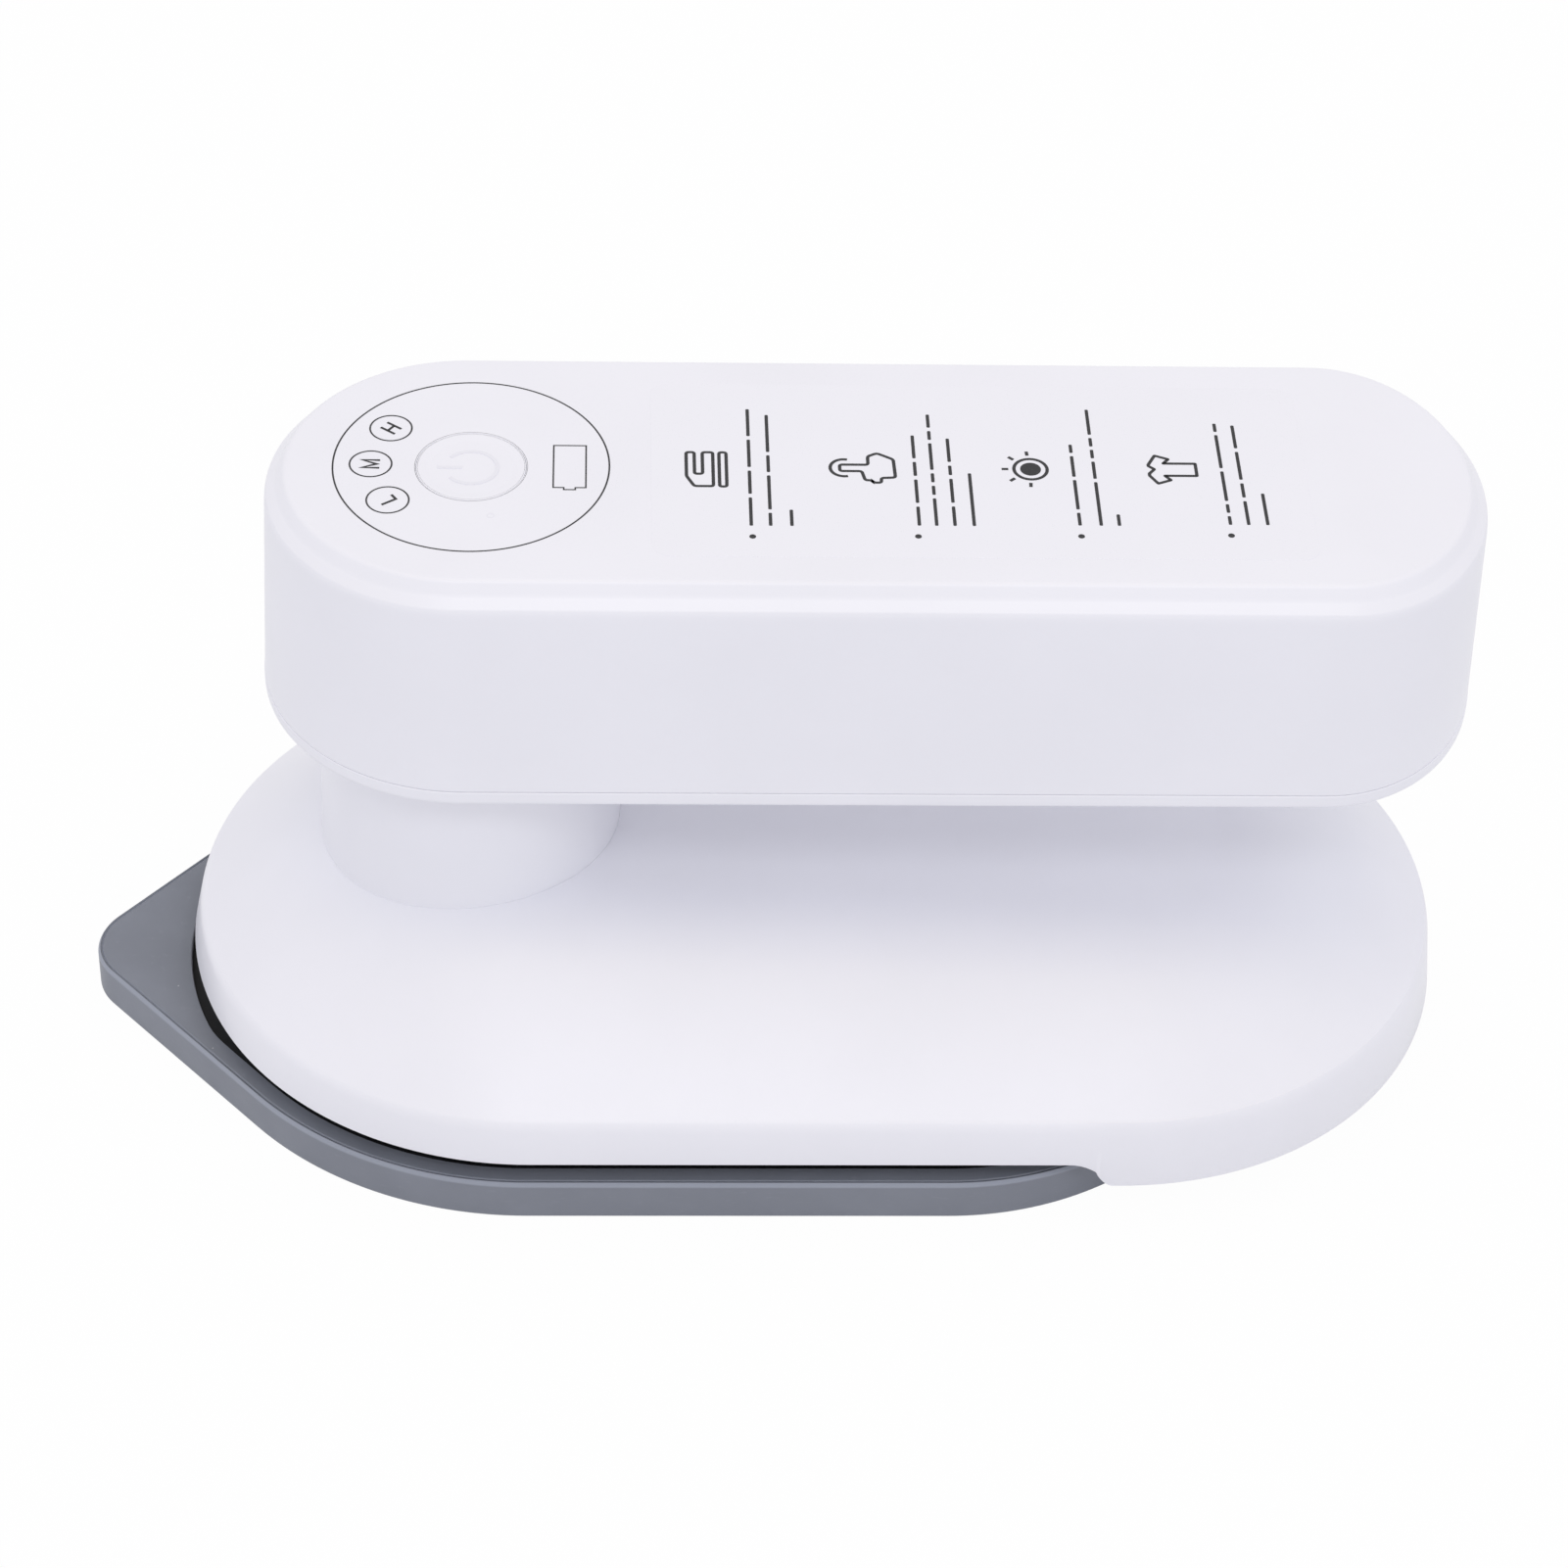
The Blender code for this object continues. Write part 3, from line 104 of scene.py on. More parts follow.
def turn(label, note, value):
    """An angle."""
    return bpy.props.FloatProperty(name=label, description=note, default=float(value), unit="ROTATION")


def share(label, note, value):
    """A plain number."""
    return bpy.props.FloatProperty(name=label, description=note, default=float(value), precision=3)


def colour(label, note, value):
    """A linear colour."""
    return bpy.props.FloatVectorProperty(
        name=label, description=note, default=value, subtype="COLOR", size=3, min=0.0, max=1.0
    )


class IronHandleSizes(bpy.types.PropertyGroup):
    """Sizes of the handle and what shows on it."""

    draft: length("Draft", "How far the wall leans out at its foot", DRAFT)
    half_width: length("Half width", "Half the width at the shoulder", shell_box.high[1] - DRAFT)
    rear_depth: length("Rear depth", "Length of the flattened rear end", 0.0171)
    wall: length("Wall", "Thickness of the moulded wall", 0.0020)
    shoulder_drop: length("Shoulder drop", "Top of the straight wall below the panel", 0.00305)
    bevel_drop: length("Bevel drop", "Lower edge of the bevel below the panel", 0.00245)
    bevel_inset: length("Bevel inset", "Lower edge of the bevel in from the wall", 0.00020)
    ledge_drop: length("Ledge drop", "Ledge below the panel", 0.00142)
    ledge_inset: length("Ledge inset", "Ledge in from the wall", 0.00125)
    panel_inset: length("Panel inset", "Edge of the raised panel in from the wall", 0.00215)
    panel_round: length("Panel rounding", "Roundness of the raised panel's edge", 0.00045)
    edge_round: length("Edge rounding", "Roundness of small edges", 0.00016)
    parting_gap: length("Parting gap", "Gap between upper shell and cover", 0.00003)
    parting_step: length("Parting step", "How far the upper shell stands back from the cover", 0.00006)
    cover_round: length("Cover rounding", "Roundness of the cover's lower edge", 0.00075)
    top_relief: length("Top relief", "Panel below the top of the printed marks", 0.00005)
    button_radius: length("Button radius", "Radius of the power button", 0.00575)
    button_gap: length("Button gap", "Gap round the power button", 0.00003)
    emblem_radius: length("Emblem radius", "Radius of the raised power sign", 0.00275)


class IronBaseSizes(bpy.types.PropertyGroup):
    """Sizes of the base shell and the column on it."""

    flare: length("Flare", "How far the skirt leans out at its foot", FLARE)
    half_width: length("Half width", "Half the width at the rim", base_box.high[1] - FLARE)
    rim_height: length("Rim height", "Height of the soft rim", 0.01405)
    rim_soft: length("Rim softness", "Length over which the rim is rounded", 0.00040)
    wall: length("Wall", "Thickness of the moulded wall", 0.0020)
    crown_rise: length("Crown rise", "Height of the pillow-shaped top over the rim", 0.0133)
    crown_flat: length("Crown flat", "Half width of the top's flat middle", 0.0126)
    crown_fall: length("Crown fall", "How much the top sinks towards the heel", 0.0025)
    heel_step_x: length("Heel step", "Where the skirt starts to drop behind the pad", 0.0655)
    heel_step_length: length("Heel step length", "Length of the drop", 0.0049)
    skirt_height: length("Skirt height", "Height of the skirt over the table, in front", 0.00905)
    column_top: length("Column top radius", "Radius of the column under the handle", 0.0162)
    column_foot: length("Column foot radius", "Radius of the column at the base", 0.0168)
    collar_gap: length("Collar gap", "Hole's radius less the column's foot radius", -0.000175)
    collar_lip: length("Collar lip", "Flat ring round the column's foot", 0.0003)
    column_wall: length("Column wall", "Thickness of the column's wall", 0.0020)


class IronPadSizes(bpy.types.PropertyGroup):
    """Sizes of the heat pad and the soleplate in it."""

    nose_radius: length("Nose radius", "Radius of the pointed nose", 0.00700)
    nose_turn: turn("Nose angle", "Angle of the nose's flanks from the long axis", math.radians(48.04))
    shoulder_radius: length("Shoulder radius", "Radius where flank meets side", 0.0406)
    heel_depth: length("Heel depth", "Length of the oval heel", 0.0360)
    wall: length("Wall", "Thickness of the rubber wall", 0.0014)
    floor: length("Floor", "Thickness of the rubber floor", 0.0012)
    lip_width: length("Lip width", "How far the lip reaches inwards", 0.0024)
    lip_thickness: length("Lip thickness", "Thickness of the lip", 0.00105)
    hood_x: length("Hood edge", "Rear edge of the hood on the long axis", -0.0322)
    hood_bow: share("Hood bow", "Bow of the hood's edge, in 1 over metres", 15.2)
    hood_soft: length("Hood softness", "Roundness where hood meets lip", 0.0005)
    edge_round: length("Edge rounding", "Roundness of the rubber edges", 0.00045)
    bead_width: length("Bead width", "Width of the fine bead round the rim", 0.00042)
    groove: length("Groove", "Depth of the fine groove inside the bead", 0.00022)
    plate_thickness: length("Soleplate thickness", "Thickness of the soleplate", 0.0024)
    plate_round: length("Soleplate rounding", "Roundness of the soleplate's edge", 0.0006)


class IronPrintSizes(bpy.types.PropertyGroup):
    """Sizes of the printed marks on the handle."""

    circle_radius: length("Circle radius", "Radius of the circle round the button", 0.01445)
    hairline: length("Hairline", "Width of the thin printed lines", 0.00018)
    stroke: length("Stroke", "Width of the pictogram lines", 0.00036)
    letter_ring: length("Letter ring", "Radius of the ring round a level letter", 0.0022)
    letter_height: length("Letter height", "Height of a level letter", 0.0019)
    letter_stroke: length("Letter stroke", "Width of a letter's lines", 0.00029)
    bar_height: length("Bar height", "Height of a word-length bar", 0.00036)
    thickness: length("Ink thickness", "Thickness of the ink", 0.000018)


class IronColours(bpy.types.PropertyGroup):
    """Colours of the outside."""

    shell: colour("Shell", "Satin moulded plastic", (0.862, 0.862, 0.906))
    silicone: colour("Silicone", "Matt blue-grey rubber", (0.215, 0.230, 0.268))
    ink: colour("Ink", "Printed marks", (0.010, 0.010, 0.013))
    film: colour("Film", "Clear label film over the plastic", (0.862, 0.862, 0.906))
    # The soleplate's near-black colour is partly its dark coat and partly painted shade for the gap under the
    # hood.
    coating: colour("Soleplate", "Dark coated aluminium", (0.030, 0.030, 0.033))
    emblem: colour("Raised sign", "The sign on the button", (0.815, 0.815, 0.865))


class IronStageSizes(bpy.types.PropertyGroup):
    """The camera, the lamps and the floor."""

    lens: share("Lens", "Focal length in millimetres", 101.43)
    camera: bpy.props.FloatVectorProperty(
        name="Camera", description="Place of the camera", default=(0.0141, -0.3683, 0.3568), unit="LENGTH"
    )
    yaw: turn("Yaw", "Heading of the camera from +Y towards +X", math.radians(3.222))
    pitch: turn("Pitch", "How far the camera looks down", math.radians(41.53))
    roll: turn("Roll", "Turn about the line of sight", math.radians(2.399))
    sky: share("Sky", "Strength of the even light from all sides", 0.872)
    top_lamp: share("Top lamp", "Power of the wide soft lamp overhead in watts", 0.95)
    front_lamp: share("Front lamp", "Power of the narrow soft lamp in front in watts", 1.2)
    whiteness: share("Whiteness", "How much of the floor's own shade the camera is spared", 0.975)


def sizes(group):
    """The property group of one part of the iron."""
    return getattr(bpy.context.scene, "iron_" + group)


class Channel:
    """A socket of a node tree. Sums with it add Math nodes and give a new Channel."""

    def __init__(self, owner, socket):
        self.owner = owner
        self.socket = socket

    def sum(self, operation, first, second):
        """One Math node on two channels or numbers."""
        return self.owner.node("ShaderNodeMath", {"operation": operation}, {0: first, 1: second})

    def __add__(self, other):
        return self.sum("ADD", self, other)

    def __sub__(self, other):
        return self.sum("SUBTRACT", self, other)

    def __rsub__(self, other):
        return self.sum("SUBTRACT", other, self)

    def __mul__(self, other):
        return self.sum("MULTIPLY", self, other)

    def __gt__(self, other):
        return self.sum("GREATER_THAN", self, other)

    def __lt__(self, other):
        return self.sum("LESS_THAN", self, other)

    __radd__ = __add__
    __rmul__ = __mul__


class Tree:
    """A node tree that grows by one node at a time."""

    def __init__(self, tree):
        self.tree = tree

    def node(self, kind, settings=None, values=None, output=0):
        """Add a node, set its settings, then fill its sockets with numbers or channels."""
        made = self.tree.nodes.new(kind)
        for key, value in (settings or {}).items():
            setattr(made, key, value)
        for key, value in (values or {}).items():
            self.feed(made.inputs[key], value)
        return Channel(self, made.outputs[output])

    def feed(self, socket, value):
        """Link a channel to a socket, or set a number or colour on it."""
        if isinstance(value, Channel):
            self.tree.links.new(value.socket, socket)
        else:
            socket.default_value = value

    def seen(self):
        """1 on rays from the camera, in reflections and through glass, and 0 on all others."""
        kinds = ("Is Camera Ray", "Is Glossy Ray", "Is Transmission Ray")
        camera, glossy, through = (self.node("ShaderNodeLightPath", output=kind) for kind in kinds)
        return camera + glossy + through

    def show(self, output, factor, first, second):
        """Lead a mix of two shaders to the output node of that name."""
        blend = self.node("ShaderNodeMixShader", None, {0: factor, 1: first, 2: second})
        self.feed(self.tree.nodes[output].inputs["Surface"], blend)


class Recipe(Tree):
    """A node-based material on Object coordinates."""

    def __init__(self, name):
        self.material = bpy.data.materials.new(name)
        self.material.use_nodes = True
        super().__init__(self.material.node_tree)
        self.shader = self.tree.nodes["Principled BSDF"]
        self.place = self.node("ShaderNodeTexCoord", output="Object")

    def stretched(self, scale, turned=(0.0, 0.0, 0.0)):
        """Object coordinates, scaled and then turned."""
        values = {"Vector": self.place, "Rotation": turned, "Scale": scale}
        return self.node("ShaderNodeMapping", None, values)

    def noise(self, scale, detail=2.0, place=None):
        """Cloudy noise from 0 to 1, with features of about 1 / scale metres."""
        values = {"Vector": place or self.place, "Scale": scale, "Detail": detail}
        return self.node("ShaderNodeTexNoise", None, values)

    def cells(self, scale, output="Distance", place=None):
        """Distance to the nearest of scattered points, in cell widths, or each cell's colour."""
        values = {"Vector": place or self.place, "Scale": scale}
        return self.node("ShaderNodeTexVoronoi", None, values, output)

    def waves(self, scale, direction, profile="SIN", distortion=0.0, place=None):
        """Parallel bands across one axis or on a slant."""
        settings = {"bands_direction": direction, "wave_profile": profile}
        values = {"Vector": place or self.place, "Scale": scale, "Distortion": distortion}
        return self.node("ShaderNodeTexWave", settings, values, 1)

    def red(self, shade):
        """The red part of a colour, as a number."""
        return self.node("ShaderNodeSeparateColor", None, {0: shade})

    def soft(self, value, low, high, start=0.0, end=1.0):
        """Ease from one number to another while the value runs from low to high."""
        return self.node(
            "ShaderNodeMapRange",
            {"interpolation_type": "SMOOTHSTEP"},
            {0: value, 1: low, 2: high, 3: start, 4: end},
        )

    def mixed(self, factor, first, second):
        """One colour at factor 0 and another at 1."""
        values = {0: factor}
        for key, shade in ((6, first), (7, second)):
            values[key] = shade if isinstance(shade, Channel) else (*shade, 1.0)
        return self.node("ShaderNodeMix", {"data_type": "RGBA"}, values, 2)

    def height(self):
        """The height over the table, in metres."""
        return self.node("ShaderNodeSeparateXYZ", None, {0: self.place}, 2)

    def specks(self, scale, radius, often):
        """Round dots of a radius in metres, in a share of the cells of a scattered grid."""
        chosen = self.red(self.cells(scale, "Color")) > 1.0 - often
        return (self.cells(scale) < radius * scale) * chosen

    def bumped(self, height, strength, distance):
        """A normal roughened by a height between 0 and 1."""
        return self.node(
            "ShaderNodeBump", None, {"Height": height, "Strength": strength, "Distance": distance}, "Normal"
        )

    def finish(self, **sockets):
        """Fill the surface shader's sockets; an underscore stands for a space."""
        for key, value in sockets.items():
            if isinstance(value, tuple) and len(value) == 3:
                value = (*value, 1.0)
            self.feed(self.shader.inputs[key.replace("_", " ").title().replace("Ior", "IOR")], value)
        return self.material


def scaled(shade, factor):
    """A colour made lighter or darker."""
    return tuple(min(part * factor, 1.0) for part in shade)


def shell_plastic(recipe, shade):
    """Satin moulded plastic: faint clouding, fine texture, a few specks of dust."""
    cloud = recipe.noise(45.0, 3.0)
    base = recipe.mixed(recipe.soft(cloud, 0.3, 0.7), scaled(shade, 0.985), scaled(shade, 1.008))
    dark = recipe.specks(95.0, 0.00013, 0.07)
    faint = recipe.specks(60.0, 0.00045, 0.10)
    base = recipe.mixed(faint * 0.06, base, scaled(shade, 0.72))
    base = recipe.mixed(dark * 0.62, base, (0.16, 0.16, 0.19))
    grain = recipe.noise(5200.0, 2.0) + recipe.noise(520.0, 2.0) * 1.4
    return recipe.finish(
        base_color=base,
        roughness=0.34 + recipe.noise(240.0, 3.0) * 0.07,
        normal=recipe.bumped(grain, 0.10, 0.00002),
        coat_weight=recipe.soft(recipe.noise(30.0), 0.2, 0.8, 0.01, 0.03),
        coat_roughness=0.12,
        ior=1.49,
    )


def silicone_rubber(recipe, shade):
    """Matt rubber: cloudy dust, fine grain, light lint, rubbed places, and a painted highlight as a paler
    band along the top of the rim.
    """
    bloom = recipe.soft(recipe.noise(120.0, 5.0), 0.35, 0.75)
    base = recipe.mixed(bloom, scaled(shade, 0.96), scaled(shade, 1.05))
    rubbed = recipe.soft(recipe.noise(700.0, 4.0, recipe.stretched((1.0, 1.0, 3.0))), 0.60, 0.78)
    base = recipe.mixed(rubbed * 0.16, base, scaled(shade, 1.5))
    # Painted highlight: a paler band just under the top edge of the wall, where the rounded rim catches the
    # lamp.
    highlight_drops = (0.00070, 0.00040, 0.00006, 0.00001)
    highlight_start, highlight_full, highlight_fade, highlight_end = (pad_box.high[2] - drop for drop in highlight_drops)
    height = recipe.height()
    rim = recipe.soft(height, highlight_start, highlight_full) * recipe.soft(height, highlight_fade, highlight_end, 1.0, 0.0)
    base = recipe.mixed(rim * 0.8, base, scaled(shade, 1.6))
    lint = recipe.specks(420.0, 0.00009, 0.10)
    flakes = recipe.specks(150.0, 0.00018, 0.07)
    base = recipe.mixed(lint * 0.6, base, (0.62, 0.63, 0.66))
    base = recipe.mixed(flakes * 0.85, base, (0.78, 0.79, 0.82))
    grain = recipe.noise(6500.0, 3.0) + recipe.noise(900.0, 2.0) * 0.8
    return recipe.finish(
        base_color=base,
        roughness=0.48 + recipe.noise(300.0, 3.0) * 0.16,
        normal=recipe.bumped(grain, 0.35, 0.00003),
        sheen_weight=0.10,
        sheen_roughness=0.5,
        ior=1.41,
    )


def clouded(recipe, shade, spread, roughness, grain, depth, metallic=0.0, ior=1.49):
    """A plain material: clouded colour, uneven gloss and a grain of a given size."""
    cloud = recipe.soft(recipe.noise(180.0, 4.0), 0.3, 0.7)
    return recipe.finish(
        base_color=recipe.mixed(cloud, scaled(shade, 1.0 - spread), scaled(shade, 1.0 + spread)),
        roughness=roughness + recipe.noise(400.0, 3.0) * 0.12,
        metallic=metallic,
        normal=recipe.bumped(recipe.noise(grain, 3.0), 0.3, depth),
        ior=ior,
    )


def brushed(recipe, shade, roughness, along=(60.0, 4000.0, 4000.0)):
    """Metal with fine lines along X."""
    lines = recipe.noise(1.0, 4.0, recipe.stretched(along))
    cloud = recipe.noise(150.0, 3.0)
    return recipe.finish(
        base_color=recipe.mixed(cloud, scaled(shade, 0.92), scaled(shade, 1.05)),
        roughness=roughness + lines * 0.18,
        metallic=1.0,
        normal=recipe.bumped(lines, 0.25, 0.00001),
    )


def coated_aluminium(recipe, shade):
    """Ground and coated plate: fine grinding lines under a thin grey coat, with tiny pits. Its near-black
    colour is partly the dark coat and partly painted shade, so the gap under the hood reads black.
    """
    lines = recipe.noise(1.0, 5.0, recipe.stretched((25.0, 2600.0, 2600.0)))
    pits = recipe.specks(900.0, 0.00006, 0.25)
    base = recipe.mixed(recipe.soft(lines, 0.3, 0.7), scaled(shade, 0.93), scaled(shade, 1.06))
    return recipe.finish(
        base_color=recipe.mixed(pits * 0.3, base, scaled(shade, 0.5)),
        roughness=0.50 + lines * 0.14,
        specular_ior_level=0.2,
        normal=recipe.bumped(lines - pits * 0.4, 0.1, 0.000004),
    )


def filled_nylon(recipe, shade):
    """Black nylon with short pale fibres in it."""
    fibres = recipe.soft(recipe.noise(1.0, 4.0, recipe.stretched((900.0, 5200.0, 2600.0))), 0.62, 0.78)
    return recipe.finish(
        base_color=recipe.mixed(fibres * 0.5, shade, (0.09, 0.09, 0.095)),
        roughness=0.48 + recipe.noise(500.0, 3.0) * 0.2,
        normal=recipe.bumped(fibres + recipe.noise(3800.0, 2.0), 0.3, 0.00002),
    )


def mica_sheet(recipe, shade):
    """Flaky mica with the heater's printed track in close bands."""
    flakes = recipe.red(recipe.cells(420.0, "Color", recipe.stretched((1.0, 1.6, 3.0))))
    track = recipe.soft(recipe.waves(55.0, "X", distortion=1.2), 0.62, 0.72)
    base = recipe.mixed(flakes, scaled(shade, 0.75), scaled(shade, 1.2))
    return recipe.finish(
        base_color=recipe.mixed(track, base, (0.42, 0.40, 0.38)),
        roughness=0.35 + flakes * 0.3,
        metallic=track * 0.8,
        normal=recipe.bumped(flakes * 0.3 + track, 0.4, 0.00003),
    )


def fibre_blanket(recipe, shade):
    """Pressed white fibres with a loose, woolly surface."""
    fibres = recipe.noise(1.0, 6.0, recipe.stretched((700.0, 3600.0, 2400.0), (0.3, 0.0, 0.7)))
    wool = recipe.noise(1500.0, 6.0)
    return recipe.finish(
        base_color=recipe.mixed(fibres, scaled(shade, 0.8), scaled(shade, 1.15)),
        roughness=0.92,
        normal=recipe.bumped(fibres + wool, 0.9, 0.00012),
        sheen_weight=0.3,
    )


def circuit_board(recipe, shade):
    """Green solder mask over copper tracks, with tinned pads in rows."""
    tracks = recipe.soft(recipe.waves(150.0, "DIAGONAL", "TRI", 3.0), 0.66, 0.72)
    pads = recipe.specks(520.0, 0.00042, 0.35)
    base = recipe.mixed(tracks, shade, scaled(shade, 1.9))
    return recipe.finish(
        base_color=recipe.mixed(pads, base, (0.62, 0.60, 0.55)),
        roughness=0.36 - pads * 0.1,
        metallic=pads * 0.9,
        normal=recipe.bumped(tracks * 0.6 + pads, 0.35, 0.00003),
        coat_weight=0.3 - pads * 0.3,
    )


def cell_wrap(recipe, shade):
    """Shrink film on a round cell, drawn tight with faint rings."""
    rings = recipe.noise(1.0, 2.0, recipe.stretched((900.0, 60.0, 60.0)))
    return recipe.finish(
        base_color=recipe.mixed(recipe.noise(90.0), scaled(shade, 0.9), scaled(shade, 1.12)),
        roughness=0.26 + rings * 0.1,
        normal=recipe.bumped(rings, 0.3, 0.00004),
        coat_weight=0.35,
        coat_roughness=0.15,
    )


def woven_sleeve(recipe, shade):
    """Glass yarn braided on a slant."""
    mirrored = recipe.stretched((-1.0, 1.0, 1.0))
    weave = recipe.waves(330.0, "DIAGONAL") * recipe.waves(330.0, "DIAGONAL", place=mirrored)
    return recipe.finish(
        base_color=recipe.mixed(weave, scaled(shade, 0.62), scaled(shade, 1.15)),
        roughness=0.7 - weave * 0.15,
        normal=recipe.bumped(weave, 0.7, 0.00015),
    )


def printed_ink(recipe, shade):
    """Screen-printed ink, a little thin in places."""
    thin = recipe.soft(recipe.noise(5200.0, 3.0), 0.58, 0.80)
    return recipe.finish(
        base_color=recipe.mixed(thin * 0.25, shade, (0.16, 0.16, 0.18)),
        roughness=0.42 + recipe.noise(2600.0) * 0.12,
        normal=recipe.bumped(thin, 0.15, 0.00001),
    )


def label_film(recipe, shade):
    """Clear film over white plastic, a little glossier than the shell."""
    ripple = recipe.noise(160.0, 2.0)
    return recipe.finish(
        base_color=recipe.mixed(ripple, scaled(shade, 0.992), scaled(shade, 1.004)),
        roughness=0.24 + recipe.noise(600.0, 3.0) * 0.07,
        normal=recipe.bumped(ripple, 0.08, 0.00004),
        coat_weight=0.12,
        coat_roughness=0.1,
    )


# What makes each finish, its colour or that colour's name in the sidebar, and its other values.
FINISHES = {
    "white_plastic": (shell_plastic, "shell"),
    "raised_sign": (shell_plastic, "emblem"),
    "grey_silicone": (silicone_rubber, "silicone"),
    "cast_aluminium": (coated_aluminium, "coating"),
    "clear_film": (label_film, "film"),
    "printed_ink": (printed_ink, "ink"),
    "black_nylon": (filled_nylon, (0.018, 0.018, 0.020)),
    "spring_steel": (brushed, (0.52, 0.53, 0.56), 0.22),
    "plated_steel": (brushed, (0.64, 0.65, 0.68), 0.20, (900.0, 900.0, 3600.0)),
    "nickel": (brushed, (0.70, 0.67, 0.62), 0.24),
    "mica": (mica_sheet, (0.55, 0.47, 0.33)),
    "fibre_blanket": (fibre_blanket, (0.74, 0.74, 0.71)),
    "green_board": (circuit_board, (0.015, 0.13, 0.05)),
    "cell_wrap": (cell_wrap, (0.04, 0.20, 0.50)),
    "wire_sleeve": (woven_sleeve, (0.74, 0.72, 0.66)),
    "natural_acetal": (clouded, (0.78, 0.77, 0.72), 0.03, 0.38, 2600.0, 0.00002),
    "lamp_epoxy": (clouded, (0.88, 0.82, 0.45), 0.05, 0.2, 1200.0, 0.00001),
    "black_epoxy": (clouded, (0.03, 0.03, 0.032), 0.2, 0.42, 4200.0, 0.00003),
    "red_wire": (clouded, (0.52, 0.03, 0.02), 0.08, 0.38, 2200.0, 0.00002),
    "black_wire": (clouded, (0.02, 0.02, 0.022), 0.2, 0.42, 2200.0, 0.00002),
}


def material(name):
    """The finish of that name, made when it is first asked for."""
    label = "finish_" + name
    if label not in bpy.data.materials:
        finish, shade, *values = FINISHES[name]
        if isinstance(shade, str):
            shade = tuple(getattr(sizes("colours"), shade))
        finish(Recipe(label), shade, *values)
    return bpy.data.materials[label]


class Pile:
    """Points and faces of one piece, added as grids."""

    def __init__(self):
        self.points = []
        self.faces = []
        self.count = 0

    def add(self, grid, wrap_rows=False, caps=False):
        """Quads between the neighbours of a grid of points, whose rows are closed rings. Either
        the last row meets the first, or one face closes the first and one the last row."""
        grid = np.asarray(grid, dtype=float)
        rows, columns = grid.shape[:2]
        index = self.count + np.arange(rows * columns).reshape(rows, columns)
        below = index if wrap_rows else index[:-1]
        above = np.roll(index, -1, 0) if wrap_rows else index[1:]
        corners = (below, np.roll(below, -1, 1), np.roll(above, -1, 1), above)
        self.faces += np.stack(corners, -1).reshape(-1, 4).tolist()
        if caps:
            self.faces += [index[0][::-1].tolist(), index[-1].tolist()]
        self.points.append(grid.reshape(-1, 3))
        self.count += rows * columns

    def placed(self, name):
        """An object in the scene, with its points welded and its faces turned outwards."""
        mesh = bpy.data.meshes.new(name)
        mesh.from_pydata(np.concatenate(self.points), [], self.faces)
        tidy = bmesh.new()
        tidy.from_mesh(mesh)
        bmesh.ops.remove_doubles(tidy, verts=tidy.verts, dist=WELD)
        bmesh.ops.recalc_face_normals(tidy, faces=tidy.faces)
        tidy.to_mesh(mesh)
        tidy.free()
        made = bpy.data.objects.new(name, mesh)
        bpy.context.scene.collection.objects.link(made)
        return made

    def piece(self, name, body, finish, stands_for=(), sharp=SHARP, slot=None):
        """A smooth object with its finish, which rides on a body."""
        made = self.placed(name)
        made.data.shade_smooth()
        made.data.set_sharp_from_angle(angle=math.radians(sharp))
        made.data.materials.append(material(finish))
        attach(made, body)
        if stands_for:
            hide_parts(*stands_for)
        return made


def unit(steps):
    """Directions of length 1."""
    return steps / np.linalg.norm(steps, axis=-1, keepdims=True)


def soft_path(corners, reach, closed=False, steps=10):
    """A broken line with rounded corners: each corner becomes a quadratic Bezier curve that
    starts and ends the given lengths from it, with a point just outside either end. One length
    for a corner stands for both."""
    corners = np.array(corners, dtype=float)
    at = corners if closed else corners[1:-1]
    before = np.roll(corners, 1, 0) if closed else corners[:-2]
    after = np.roll(corners, -1, 0) if closed else corners[2:]
    reach = np.array(reach, dtype=float).reshape(len(at), -1)
    back = unit(before - at)
    ahead = unit(after - at)
    first = (at + back * reach[:, :1])[:, None]
    last = (at + ahead * reach[:, -1:])[:, None]
    t = np.linspace(0.0, 1.0, steps + 1)[None, :, None]
    curve = (1 - t) ** 2 * first + 2 * t * (1 - t) * at[:, None] + t**2 * last
    rows = np.concatenate([first + back[:, None] * HOLD, curve, last + ahead[:, None] * HOLD], 1)
    rows = rows.reshape(-1, 2)
    return rows if closed else np.concatenate([corners[:1], rows, corners[-1:]])


def arc_rows(centre_x, radius_x, radius_y, start, end, count):
    """x = centre + radius_x cos t and y = radius_y sin t, one row for each radius."""
    t = np.linspace(start, end, count)[None, :]
    x = centre_x + np.reshape(radius_x, (-1, 1)) * np.cos(t)
    return np.stack([x, np.reshape(radius_y, (-1, 1)) * np.sin(t)], -1)


def side_rows(stations, half):
    """Straight side at y = half through the stations' X, one row for each half width."""
    x, y = np.broadcast_arrays(stations[None, :], np.reshape(half, (-1, 1)))
    return np.stack([x, y], -1)


def ray_stations(front, rear, half, count):
    """X of points on a straight side, evenly spread in direction as seen from the Z axis."""
    return half / np.tan(np.linspace(math.atan2(half, rear), math.atan2(half, front), count + 2)[1:-1])


def closed_plan(rear, stations, front, half):
    """Rear arc, straight side, front arc and the other straight side, one row for each inset."""
    return np.concatenate([rear, side_rows(stations, half), front, side_rows(stations[::-1], -half)], 1)


